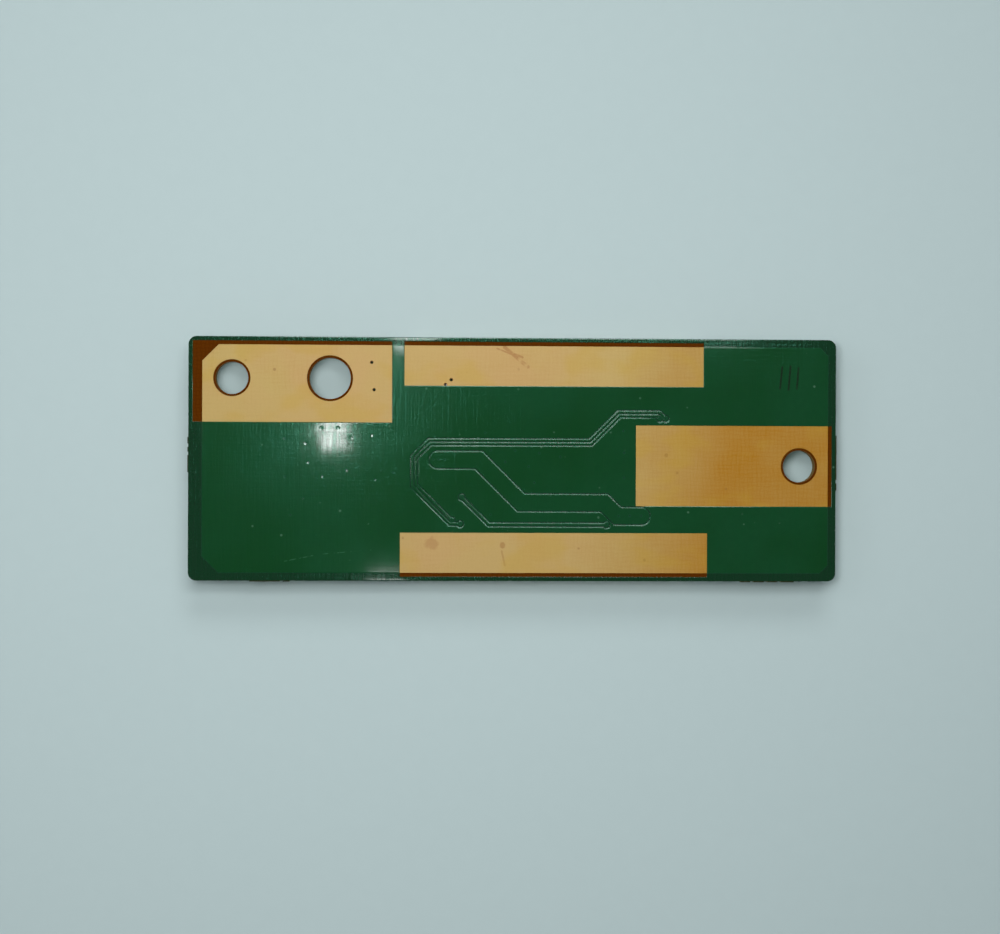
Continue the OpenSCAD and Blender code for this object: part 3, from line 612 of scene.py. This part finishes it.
def rims(points, triples):
    """Closed outlines round a set of plan triangles, each an array of points."""
    ways = set()
    for a, b, c in triples:
        ways.update(((a, b), (b, c), (c, a)))
    onward = {}
    for a, b in ways:
        if a != b and (b, a) not in ways:
            onward.setdefault(a, []).append(b)
    loops = []
    while onward:
        start = min(onward)
        loop, at = [], start
        while at in onward:
            loop.append(at)
            nexts = onward[at]
            at = nexts.pop()
            if not nexts:
                del onward[loop[-1]]
        if len(loop) > 2:
            loops.append(straightened(points[loop]))
    return loops


def straightened(loop):
    """A loop without the points that lie on a straight run."""
    before = loop - np.roll(loop, 1, axis=0)
    after = np.roll(loop, -1, axis=0) - loop
    turn = abs(before[:, 0] * after[:, 1] - before[:, 1] * after[:, 0])
    size = np.linalg.norm(before, axis=1) * np.linalg.norm(after, axis=1)
    return loop[turn > 0.002 * size]


def beside(loop, offset):
    """A loop moved sideways by an offset."""
    before = loop - np.roll(loop, 1, axis=0)
    before /= np.linalg.norm(before, axis=1)[:, None]
    first = np.column_stack((-before[:, 1], before[:, 0]))
    second = np.roll(first, -1, axis=0)
    scale = np.maximum(1 + (first * second).sum(1), 0.5)
    return loop + offset * (first + second) / scale[:, None]


def ring(centre, radius, count=16):
    """Points round a circle."""
    turn = np.arange(count) * (2 * math.pi / count)
    return np.array(centre) + radius * np.column_stack((np.cos(turn), np.sin(turn)))


def fence(loops):
    """Search tree of upright walls along the loops."""
    points, quads = [], []
    for loop in loops:
        count, first = len(loop), len(points)
        for x, y in loop:
            points += [(x, y, -1.0), (x, y, 1.0)]
        for i in range(count):
            j = (i + 1) % count
            quads.append((first + 2 * i, first + 2 * j, first + 2 * j + 1, first + 2 * i + 1))
    return BVHTree.FromPolygons(points, quads)


def distances(tree, places):
    """Distance of each place to a search tree."""
    return np.array([tree.find_nearest((x, y, 0.0))[3] for x, y in places])


def inside(loops, places):
    """Which places lie inside an odd number of the loops."""
    start = np.vstack(loops)
    end = np.vstack([np.roll(loop, -1, axis=0) for loop in loops])
    rise = end[:, 1] - start[:, 1]
    lean = (end[:, 0] - start[:, 0]) / np.where(rise == 0, 1, rise)
    result = []
    for some in np.array_split(places, len(places) // 2000 + 1):  # in parts, to spare memory
        x, y = some[:, :1], some[:, 1:]
        crosses = (start[:, 1] > y) != (end[:, 1] > y)
        beyond = start[:, 0] + (y - start[:, 1]) * lean > x
        result.append((crosses & beyond).sum(axis=1) % 2 == 1)
    return np.concatenate(result)


def step(value, low, high):
    """Smooth step of an array."""
    t = np.clip((value - low) / (high - low), 0, 1)
    return t * t * (3 - 2 * t)


# ---------------------------------------------------------------- relief of the solder mask

# Inspection strokes on the ground side, as short plain lines in mm
STROKES = (((33.0, 8.9), (33.25, 11.6)), ((34.05, 8.8), (34.3, 11.7)), ((35.1, 8.9), (35.3, 11.5)))
STROKE_WIDTH = 0.24

SLIVER = 0.25  # outlines of the mask less across than this, in mm, are left out
SMALL_HOLE = 0.6  # rims of copper less across than this, in mm, are drilled vias
RAMP_LINES = (-1.1, -0.5, 0.0, 0.5, 1.1)  # lines beside a copper edge, in widths of the ramp
LIP_LINES = ((0.0, -0.17, -0.45, -1.0, -1.5), (0.17, 0.45, 1.0, 1.5))  # beside a window, in widths of the lip
VIA_RINGS = (0.06, 0.13, 0.2, 0.27, 0.35)  # radii of the rings round a via, in mm
LEAST_SKIN = 0.02  # least thickness of the mask, in mm
EDGE_SKIN = 0.002  # its thickness right at a window's edge, in mm
FAR_SHARE = 0.7  # share of its thickness in a gap that is left far from copper
THINNING = (-0.45, -0.12)  # distances from copper between which it thins, in mm
DIMPLE_RADII = (0.05, 0.3)  # flat middle and outer radius of a via's dimple, in mm
BARE_RADII = (0.06, 0.2)  # radii between which the copper round a via starts to show, in mm; the darker dot inside is partly painted shade


def stroke_outline(start, end, width):
    """Outline of a stroke with round ends."""
    start, end = np.array(start), np.array(end)
    along = (end - start) / np.linalg.norm(end - start)
    angle = math.atan2(along[1], along[0])
    cap = [angle - math.pi / 2 + math.pi * i / 6 for i in range(7)]
    tip = [end + width / 2 * np.array((math.cos(a), math.sin(a))) for a in cap]
    tail = [start - width / 2 * np.array((math.cos(a), math.sin(a))) for a in cap]
    return np.array(tip + tail)


def extent(loop):
    """Greatest extent of a loop along X or Y."""
    return np.ptp(loop, axis=0).max()


def relief_lines(windows, copper_rims, vias):
    """Closed lines that the relief bends along."""
    ramp, lip = sizes().ramp / MM, sizes().lip / MM
    lines = [beside(loop, ramp * k) for loop in copper_rims for k in RAMP_LINES]
    lines += [beside(loop, lip * k) for run in LIP_LINES for loop in windows for k in run]
    return lines + [ring(via, radius) for via in vias for radius in VIA_RINGS]


def net_through(lines):
    """Plan triangles that have the closed lines among their edges: their points and index triples."""
    points, pairs = [], []
    for line in lines:
        first, count = len(points), len(line)
        points += [Vector(p) for p in line]
        pairs += [(first + i, first + (i + 1) % count) for i in range(count)]
    made, _, faces, *_ = delaunay_2d_cdt(points, pairs, [], 0, 1e-4, False)
    return np.array([tuple(p) for p in made]), np.array(faces)


def relief_heights(made, windows, copper_rims, vias, foil, skin):
    """Heights over the laminate of the mask's face and of what it lies on, in mm, and how much copper
    shows through it, lowered over the vias as painted shade."""
    ramp, lip = sizes().ramp / MM, sizes().lip / MM
    over_gap, dimple = sizes().over_gap / MM, sizes().dimple / MM
    reach = distances(fence(copper_rims), made)
    reach = np.where(inside(copper_rims, made), reach, -reach)  # above 0 on the copper
    cover = step(reach, -ramp / 2, ramp / 2)
    thinned = FAR_SHARE + (1 - FAR_SHARE) * step(reach, *THINNING)
    face = cover * (foil + skin) + (1 - cover) * over_gap * thinned
    copper_shown_and_via_shade = cover.copy()
    for via in vias:
        far = np.linalg.norm(made - via, axis=1)
        face -= dimple * (1 - step(far, *DIMPLE_RADII))
        # Darker dot over each via: no copper under the tented hole, and painted shade standing for the
        # dimple's dark look.
        copper_shown_and_via_shade *= step(far, *BARE_RADII)
    bed = np.minimum(foil * step(reach, -ramp / 2, 0), face - LEAST_SKIN)
    rim = distances(fence(windows), made)
    rounded = np.sqrt(1 - (1 - np.clip(rim / lip, 0, 1)) ** 2)
    face = bed + EDGE_SKIN + (face - bed - EDGE_SKIN) * rounded
    return face, bed, copper_shown_and_via_shade


def skin_between(name, made, faces, face, bed, side):
    """Closed mesh over plan triangles, from its bed up to its face, both in mm along Z."""
    count = len(made)
    winding = faces if signed_area(made, faces) * side > 0 else faces[:, ::-1]
    ways = {(a, b) for tri in winding for a, b in zip(tri, np.roll(tri, -1))}
    skirt = [(b, a, a + count, b + count) for a, b in ways if (b, a) not in ways]
    skirt = sorted([int(v) for v in quad] for quad in skirt)
    polygons = winding.tolist() + (winding[:, ::-1] + count).tolist() + skirt
    sheets = [np.column_stack((made, level)) * MM for level in (face, bed)]
    mesh = bpy.data.meshes.new(name)
    mesh.from_pydata(np.vstack(sheets).tolist(), [], polygons)
    return mesh


def mask_relief(name, mask_node, copper_nodes, side, strokes=()):
    """Solder mask as one closed skin that follows the copper under it: it steps down beside every
    copper edge, rounds off at its windows and dips over drilled vias."""
    low, high = (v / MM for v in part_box(mask_node))
    copper_low, copper_high = (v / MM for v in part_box(copper_nodes[0]))
    outer = high.z if side > 0 else low.z
    board = copper_low.z if side > 0 else copper_high.z
    copper_face = copper_high.z if side > 0 else copper_low.z

    windows = [loop for loop in rims(*plan_triangles([mask_node], side)) if extent(loop) > SLIVER]
    copper_rims = rims(*plan_triangles(copper_nodes, side, copper_face))
    vias = [loop.mean(axis=0) for loop in copper_rims if extent(loop) < SMALL_HOLE]
    copper_rims = [loop for loop in copper_rims if extent(loop) >= SMALL_HOLE]
    strokes = [stroke_outline(a, b, STROKE_WIDTH) for a, b in strokes]

    made, faces = net_through(relief_lines(windows, copper_rims, vias) + strokes)
    middles = made[faces].mean(axis=1)
    kept = inside(windows, middles)
    faces, middles = faces[kept], middles[kept]
    used, faces = np.unique(faces, return_inverse=True)
    made, faces = made[used], faces.reshape(-1, 3)
    foil, skin = abs(copper_face - board), abs(outer - copper_face)
    face, bed, copper_shown_and_via_shade = relief_heights(made, windows, copper_rims, vias, foil, skin)

    mesh = skin_between(name, made, faces, board + side * face, board + side * bed, side)
    mesh.materials.append(bpy.data.materials["green_solder_mask"])
    if strokes:
        marked = np.zeros(len(mesh.polygons), int)
        for outline in strokes:
            marked[: len(faces)] |= within(outline, middles)
        mesh.materials.append(bpy.data.materials["marker_strokes"])
        mesh.polygons.foreach_set("material_index", marked)
    attribute = mesh.attributes.new("copper", "FLOAT", "POINT")
    attribute.data.foreach_set("value", np.tile(copper_shown_and_via_shade, 2).astype(np.float32))
    mesh.shade_smooth()
    mesh.set_sharp_from_angle(angle=math.radians(55))
    mesh.validate()
    return settled(placed(name, mesh), "solder_mask", mask_node)


def signed_area(points, faces):
    """Twice the signed area of the first plan triangle that has one."""
    a, b, c = (points[faces[:, k]] for k in range(3))
    area = (b[:, 0] - a[:, 0]) * (c[:, 1] - a[:, 1]) - (b[:, 1] - a[:, 1]) * (c[:, 0] - a[:, 0])
    return float(area[abs(area).argmax()])


def within(outline, places):
    """1 for each place inside a convex outline drawn anticlockwise."""
    held = np.ones(len(places), int)
    for p, q in zip(outline, np.roll(outline, -1, axis=0)):
        along, off = q - p, places - p
        held &= along[0] * off[:, 1] - along[1] * off[:, 0] > 0
    return held


# ---------------------------------------------------------------- pieces made from CAD parts


def placed(name, data):
    """New object of a mesh, lamp or camera, in the scene."""
    made = bpy.data.objects.new(name, data)
    bpy.context.scene.collection.objects.link(made)
    return made


def settled(piece, slot, *nodes):
    """Rides a piece on the board and hides the nodes that it stands for. The slot is not used."""
    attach(piece, "root")
    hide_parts(*nodes)
    return piece


def ordered_mesh(name, shape):
    """Mesh of a shape, with its faces and their corners in the same order in every run."""
    shape.verts.index_update()
    faces = []
    for face in shape.faces:
        corners = [vert.index for vert in face.verts]
        first = corners.index(min(corners))
        faces.append(corners[first:] + corners[:first])
    mesh = bpy.data.meshes.new(name)
    mesh.from_pydata([vert.co[:] for vert in shape.verts], [], sorted(faces))
    return mesh


def rounded_copy(name, node, edge, material, slot, segments=2, crease=30):
    """Copy of a CAD node with its flat faces joined up and its edges rounded."""
    shape = bmesh.new()
    shape.from_mesh(NODES[node].data)
    bmesh.ops.remove_doubles(shape, verts=shape.verts, dist=1e-7)
    bmesh.ops.dissolve_limit(
        shape, angle_limit=math.radians(1), verts=shape.verts, edges=shape.edges
    )
    folds = [e for e in shape.edges if len(e.link_faces) == 2]
    sharp = [e for e in folds if e.calc_face_angle(0.0) > math.radians(crease)]
    bmesh.ops.bevel(
        shape,
        geom=sharp,
        offset=edge,
        segments=segments,
        profile=0.5,
        affect="EDGES",
        clamp_overlap=True,
        harden_normals=False,
    )
    bmesh.ops.remove_doubles(shape, verts=shape.verts, dist=1e-7)
    bmesh.ops.triangulate(shape, faces=[f for f in shape.faces if len(f.verts) > 4])
    bmesh.ops.recalc_face_normals(shape, faces=shape.faces)
    mesh = ordered_mesh(name, shape)
    shape.free()
    mesh.materials.append(material)
    mesh.shade_smooth()
    mesh.set_sharp_from_angle(angle=math.radians(40))
    piece = placed(name, mesh)
    modifier = piece.modifiers.new("even_shading", "WEIGHTED_NORMAL")
    modifier.keep_sharp = True
    return settled(piece, slot, node)


def bodies_in(node):
    """Lowest and highest corner of each separate solid in a CAD node, in mm."""
    shape = bmesh.new()
    shape.from_mesh(NODES[node].data)
    bmesh.ops.remove_doubles(shape, verts=shape.verts, dist=1e-7)
    seen, boxes = set(), []
    for start in shape.verts:
        if start in seen:
            continue
        stack, group = [start], []
        seen.add(start)
        while stack:
            vert = stack.pop()
            group.append(vert.co)
            for e in vert.link_edges:
                other = e.other_vert(vert)
                if other not in seen:
                    seen.add(other)
                    stack.append(other)
        co = np.array(group) / MM
        boxes.append((co.min(axis=0), co.max(axis=0)))
    shape.free()
    return sorted(boxes, key=lambda b: (round(b[0][0], 3), round(b[0][1], 3)))


# Solder fillets, in mm
SEAT = 0.001  # height of a fillet's own underside
PAD_FILM = 0.012  # solder on a pad away from the metal
FEATHER = 0.004  # solder at a pad's edge
RIM_ROUND = 0.05  # width over which a fillet rises from a pad's edge
TAIL_PAD = 0.51  # width of a contact's pad
HEEL = 0.32  # length of a contact's heel, where the solder climbs highest
FOOT = (1.3, 1.2)  # plan size of a shell's board foot
CHIP_SPREAD = 0.07  # how far the solder of a chip part spreads past its pad
TOUCH = 0.05  # solder this near an end cap belongs to it

# Climb of the solder: at a heel and a foot as shares of the usual climb, at an end cap of its height
HEEL_CLIMB = 2.0
FOOT_CLIMB = 1.4
CAP_CLIMB = 0.6


def fillet_sheet(low, high, metals, cell):
    """Grid over a pad and the solder's height at each of its points."""
    counts = [max(4, round((high[k] - low[k]) / cell)) for k in (0, 1)]
    x, y = np.meshgrid(*(np.linspace(low[k], high[k], counts[k] + 1) for k in (0, 1)))
    height = np.full(x.shape, PAD_FILM)
    for a, b, climb in metals:
        off_x = np.maximum(np.maximum(a[0] - x, x - b[0]), 0)
        off_y = np.maximum(np.maximum(a[1] - y, y - b[1]), 0)
        near = 1 - np.hypot(off_x, off_y) / (sizes().solder_reach / MM)
        height = np.maximum(height, climb * np.clip(near, 0, 1) ** 1.8)
    rim = np.minimum(np.minimum(x - low[0], high[0] - x), np.minimum(y - low[1], high[1] - y))
    return x, y, FEATHER + (height - FEATHER) * np.clip(rim / RIM_ROUND, 0, 1) ** 0.5


def sheet_skin(rows, columns, first):
    """Faces of a closed skin of two equal grids of points, the first of which starts at an index."""
    total, nx, ny = rows * columns, columns - 1, rows - 1
    faces = []
    for j in range(ny):
        for i in range(nx):
            corner = j * columns + i
            square = [corner, corner + 1, corner + 1 + columns, corner + columns]
            faces.append([first + k for k in reversed(square)])
            faces.append([first + total + k for k in square])
    edge = list(range(nx)) + [nx + j * columns for j in range(ny)]
    edge += [total - 1 - i for i in range(nx)] + [(ny - j) * columns for j in range(ny)]
    for a, b in zip(edge, edge[1:] + edge[:1]):
        faces.append([first + a, first + b, first + total + b, first + total + a])
    return faces


def solder_piece(name, joints, level, node, cell=0.06):
    """Solder fillets on the component side. Each joint is a pad's low and high corner and the plan
    boxes of the metal on it, each with the height that the solder climbs there."""
    points, faces = [], []
    for low, high, metals in joints:
        x, y, height = fillet_sheet(low, high, metals, cell)
        faces += sheet_skin(*x.shape, len(points))
        for sheet in (level - height, np.full(x.shape, level - SEAT)):
            points += np.column_stack((x.ravel(), y.ravel(), sheet.ravel())).tolist()
    mesh = bpy.data.meshes.new(name)
    mesh.from_pydata((np.array(points) * MM).tolist(), [], faces)
    mesh.materials.append(bpy.data.materials["bright_solder"])
    mesh.shade_smooth()
    mesh.set_sharp_from_angle(angle=math.radians(65))
    mesh.validate()
    return settled(placed(name, mesh), "solder", node)


def tail_joints(row, climb):
    """A joint at each contact's tail, whose solder climbs highest at the heel."""
    pads = bodies_in(f"{row}_tail_solder")
    pad_low = min(low[1] for low, _ in pads)
    pad_high = max(high[1] for _, high in pads)
    heel = (pad_high - HEEL, pad_high) if row == "upper" else (pad_low, pad_low + HEEL)
    joints = []
    for low, high in bodies_in(f"{row}_contacts"):
        middle = (low[0] + high[0]) / 2
        metals = [
            ((low[0], max(low[1], pad_low)), (high[0], min(high[1], pad_high)), climb),
            ((low[0], heel[0]), (high[0], heel[1]), climb * HEEL_CLIMB),
        ]
        left, right = middle - TAIL_PAD / 2, middle + TAIL_PAD / 2
        joints.append(((left, pad_low), (right, pad_high), metals))
    return joints


def foot_joints(row, climb):
    """A joint at each of a shell's four board feet."""
    shell_low, shell_high = (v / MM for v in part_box(f"{row}_shell"))
    pads_low, pads_high = (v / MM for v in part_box(f"{row}_shell_solder"))
    spread = shell_low.x - pads_low.x
    joints = []
    for x in (shell_low.x, shell_high.x - FOOT[0]):
        for y in (pads_low.y + spread, pads_high.y - spread - FOOT[1]):
            far_x, far_y = x + FOOT[0], y + FOOT[1]
            metals = [((x, y), (far_x, far_y), climb * FOOT_CLIMB)]
            joints.append(((x - spread, y - spread), (far_x + spread, far_y + spread), metals))
    return joints


def chip_joints():
    """A joint at each end cap of the chip parts, over the cap and the solder beside it."""
    joints = []
    wedges = bodies_in("chip_solder")
    for chip, *_ in CHIPS:
        for low, high in bodies_in(f"{chip}_ends"):
            pad_low, pad_high = low.copy(), high.copy()
            for a, b in wedges:
                if (a[:2] < high[:2] + TOUCH).all() and (b[:2] > low[:2] - TOUCH).all():
                    pad_low, pad_high = np.minimum(pad_low, a), np.maximum(pad_high, b)
            metals = [(low[:2], high[:2], (high[2] - low[2]) * CAP_CLIMB)]
            joints.append((pad_low[:2] - CHIP_SPREAD, pad_high[:2] + CHIP_SPREAD, metals))
    return joints


def finished(node, material):
    """Gives a CAD node its finish."""
    NODES[node].data.materials.clear()
    NODES[node].data.materials.append(material)


# ---------------------------------------------------------------- operators


class BOARD_OT_finishes(bpy.types.Operator):
    """Makes every finish that the pieces share"""

    bl_idname = "board.finishes"
    bl_label = "Finishes"

    def execute(self, context):
        green_solder_mask()
        marker_strokes()
        gold_plating()
        brown_laminate()
        bare_copper("etched_copper", colours().copper, 0.35, 0.004 * MM)
        bare_copper("via_barrels", tone(120, 78, 44), 0.4, 0.006 * MM)
        plated_metal("tin_plated_sheet", tuple(colours().sheet), 0.26, 7.0)
        plated_metal("gold_flashed_contacts", tone(214, 178, 104), 0.22, 12.0)
        plated_metal("tinned_end_caps", tone(196, 198, 198), 0.3, 12.0)
        bright_solder()
        moulded_plastic()
        fired_body("capacitor_ceramic", colours().capacitor, tone(140, 110, 76), 0.35)
        fired_body("fuse_ceramic", colours().fuse, tone(204, 204, 190), 0.35)
        fired_body("link_ferrite", colours().link, tone(62, 60, 60), 0.3)
        printed_ink()
        return {"FINISHED"}


class BOARD_OT_layers(bpy.types.Operator):
    """Finishes the laminate, the copper layers, the vias and the printed lines"""

    bl_idname = "board.layers"
    bl_label = "Board layers"

    def execute(self, context):
        materials = bpy.data.materials
        finished("laminate", materials["brown_laminate"])
        finished("ground_copper_back", materials["immersion_gold"])
        for node in GROUND_SIDE_COPPER[1:] + PART_SIDE_COPPER:
            finished(node, materials["etched_copper"])
        for node in ("ground_vias", "signal_vias", "supply_vias"):
            finished(node, materials["via_barrels"])
        finished("silkscreen_lines", materials["printed_ink"])
        return {"FINISHED"}


class BOARD_OT_masks(bpy.types.Operator):
    """Lays the solder mask over the copper of both sides"""

    bl_idname = "board.masks"
    bl_label = "Solder masks"

    def execute(self, context):
        mask_relief("ground_side_mask", "solder_mask_back", GROUND_SIDE_COPPER, 1, STROKES)
        mask_relief("component_side_mask", "solder_mask_front", PART_SIDE_COPPER, -1)
        return {"FINISHED"}


class BOARD_OT_receptacles(bpy.types.Operator):
    """Makes both receptacles: shells, housings and contacts"""

    bl_idname = "board.receptacles"
    bl_label = "Receptacles"

    def execute(self, context):
        materials = bpy.data.materials
        for row in ROWS:
            for part, edge, material, slot in (
                ("shell", sizes().sheet_edge, "tin_plated_sheet", "shell_sheet"),
                ("housing", sizes().plastic_edge, "moulded_plastic", "housing"),
                ("contacts", sizes().sheet_edge, "gold_flashed_contacts", "contact_metal"),
            ):
                rounded_copy(f"{row}_receptacle_{part}", f"{row}_{part}", edge, materials[material], slot)
        return {"FINISHED"}


class BOARD_OT_chip_parts(bpy.types.Operator):
    """Makes the two capacitors, the fuse and the link"""

    bl_idname = "board.chip_parts"
    bl_label = "Chip parts"

    def execute(self, context):
        materials = bpy.data.materials
        edge, caps = sizes().chip_edge, materials["tinned_end_caps"]
        for chip, material, slot in CHIPS:
            rounded_copy(f"{chip}_body", chip, edge * 0.5, materials[material], slot)
            rounded_copy(f"{chip}_caps", f"{chip}_ends", edge, caps, "end_caps", 3)
        return {"FINISHED"}


class BOARD_OT_solder(bpy.types.Operator):
    """Lays solder fillets round the contact tails, the shell feet and the chip ends"""

    bl_idname = "board.solder"
    bl_label = "Solder fillets"

    def execute(self, context):
        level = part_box("upper_tail_solder")[1].z / MM
        climb = sizes().solder_climb / MM
        for row in ROWS:
            solder_piece(f"{row}_tail_fillets", tail_joints(row, climb), level, f"{row}_tail_solder")
            feet = foot_joints(row, climb)
            solder_piece(f"{row}_shell_fillets", feet, level, f"{row}_shell_solder", 0.09)
        solder_piece("chip_fillets", chip_joints(), level, "chip_solder")
        return {"FINISHED"}


# ---------------------------------------------------------------- floor, light and camera

# Studio lamps, in metres and watts: name, place, size, power and the point that each one faces
LAMPS = (
    ("far_soft_box", (0.05, 0.5, 0.42), (0.35, 0.2), 1.0, (0, 0, 0)),
    ("left_soft_box", (-0.42, 0.15, 0.42), (0.3, 0.3), 0.3, (0, 0, 0)),
    ("overhead_panel", (-0.037, 0.012, 0.215), (0.06, 0.05), 0.195, (-0.037, 0.012, 0)),
    ("edge_panel", (0.01, 0.064, 0.21), (0.12, 0.036), 0.13, (0, 0, 0)),
    ("glint_lamp", (-0.035, 0.0135, 0.214), (0.0065, 0.021), 0.0095, (-0.035, 0.0135, 0)),
    ("rim_lamp", (-0.0145, 0.0302, 0.214), (0.011, 0.005), 0.0042, (-0.0145, 0.0302, 0)),
    ("lower_rim_lamp", (-0.0215, -0.0293, 0.214), (0.008, 0.003), 0.0012, (-0.0215, -0.0293, 0)),
)
SKY = tone(190, 205, 206)
SKY_LOW, SKY_HIGH = 0.32, 0.09  # light of the sky near the horizon and overhead

FLOOR_RADIUS = 1.5
FLOOR_GLOW = 0.9  # strength of the floor's own colour where it lights and is mirrored by the board

# Camera, with its lean as a rotation vector in degrees
SENSOR_WIDTH = 36.0
FOCAL_LENGTH = 61.2
CAMERA_PLACE = Vector((-9.51, -0.63, 214.13)) * MM
CAMERA_LEAN = (0.086, 2.121, -0.223)


def soft_lamp(name, place, size, power, aim):
    """Rectangular lamp that faces a point."""
    data = bpy.data.lights.new(name, "AREA")
    data.shape = "RECTANGLE"
    data.size, data.size_y = size
    data.energy = power
    lamp = placed(name, data)
    lamp.location = place
    lamp.rotation_euler = (Vector(aim) - Vector(place)).to_track_quat("-Z", "Y").to_euler()
    lamp.visible_camera = False
    return lamp


class BOARD_OT_stage(bpy.types.Operator):
    """Sets up the floor, the studio light and the camera"""

    bl_idname = "board.stage"
    bl_label = "Stage"

    def execute(self, context):
        self.floor(context)
        self.light(context)
        self.camera(context)
        context.scene.view_settings.view_transform = "Standard"
        return {"FINISHED"}

    def floor(self, context):
        """Floor that keeps the shadow, shows its colour to the board's underside and is clear from below."""
        mesh = bpy.data.meshes.new("floor")
        shape = bmesh.new()
        bmesh.ops.create_circle(shape, cap_ends=True, segments=64, radius=FLOOR_RADIUS)
        shape.to_mesh(mesh)
        shape.free()
        placed("floor", mesh)
        mix = recipe("plain_floor")
        place = mix.place()
        fleck = mix.noise(place, 0.5, 3.0)
        colour = mix.blend((fleck - 0.5) * 0.12 + 0.06, colours().floor, tone(170, 188, 190))
        lit = mix.add("BsdfDiffuse", {}, {"Color": colour, "Roughness": 0.4})
        glow = mix.add("Emission", {}, {"Color": tuple(colours().floor), "Strength": FLOOR_GLOW})
        seen = mix.add("LightPath", output="Is Camera Ray")
        both = mix.add("MixShader", {}, {0: seen, 1: glow, 2: lit})
        clear = mix.add("BsdfTransparent")
        below = mix.add("NewGeometry", output="Backfacing")
        material = mix.finish(mix.add("MixShader", {}, {0: below, 1: both, 2: clear}))
        material.cycles.emission_sampling = "NONE"
        mesh.materials.append(material)

    def light(self, context):
        """Soft boxes, panels, small lamps for the glints and a dim sky. The gloss doesn't show the
        overhead panel."""
        for lamp in LAMPS:
            soft_lamp(*lamp)
        bpy.data.objects["overhead_panel"].visible_glossy = False
        world = bpy.data.worlds.new("studio")
        context.scene.world = world
        mix = Recipe(world)
        up = mix.axes(mix.add("TexCoord", output="Generated"))[2]
        low, high = (tuple(share * c for c in SKY) for share in (SKY_LOW, SKY_HIGH))
        air = mix.blend(up.rise(0.55, 0.9), low, high)
        around = mix.add("Background", {}, {"Color": air, "Strength": 1.0})
        backdrop = mix.add("Background", {}, {"Color": SKY, "Strength": 1.0})
        seen = mix.add("LightPath", output="Is Camera Ray")
        mix.finish(mix.add("MixShader", {}, {0: seen, 1: around, 2: backdrop}), "OutputWorld")

    def camera(self, context):
        """Camera that looks down on the ground side."""
        data = bpy.data.cameras.new("camera")
        data.sensor_fit = "HORIZONTAL"
        data.sensor_width = SENSOR_WIDTH
        data.lens = FOCAL_LENGTH
        data.clip_start, data.clip_end = 0.01, 10.0
        camera = placed("camera", data)
        lean = Vector([math.radians(angle) for angle in CAMERA_LEAN])
        turn = Matrix.Rotation(lean.length, 3, lean.normalized()).transposed()
        camera.matrix_world = Matrix.Translation(CAMERA_PLACE) @ turn.to_4x4()
        context.scene.camera = camera


STEPS = (
    BOARD_OT_stage,
    BOARD_OT_finishes,
    BOARD_OT_layers,
    BOARD_OT_masks,
    BOARD_OT_receptacles,
    BOARD_OT_chip_parts,
    BOARD_OT_solder,
)


class BOARD_PT_panel(bpy.types.Panel):
    """Steps, sizes and colours of the adapter board"""

    bl_idname = "BOARD_PT_panel"
    bl_label = "Adapter board"
    bl_space_type = "VIEW_3D"
    bl_region_type = "UI"
    bl_category = "Adapter board"

    def draw(self, context):
        for made in STEPS:
            self.layout.operator(made.bl_idname)
        for group in (context.scene.board_sizes, context.scene.board_colours):
            for key in group.bl_rna.properties.keys():
                if key not in ("rna_type", "name"):
                    self.layout.prop(group, key)


CLASSES = (BoardSizes, BoardColours, *STEPS, BOARD_PT_panel)


def register():
    for made in CLASSES:
        bpy.utils.register_class(made)
    bpy.types.Scene.board_sizes = bpy.props.PointerProperty(type=BoardSizes)
    bpy.types.Scene.board_colours = bpy.props.PointerProperty(type=BoardColours)


def unregister():
    del bpy.types.Scene.board_colours
    del bpy.types.Scene.board_sizes
    for made in reversed(CLASSES):
        bpy.utils.unregister_class(made)


def main():
    register()
    for made in STEPS:
        area, name = made.bl_idname.split(".")
        getattr(getattr(bpy.ops, area), name)()


if __name__ == "__main__":
    main()
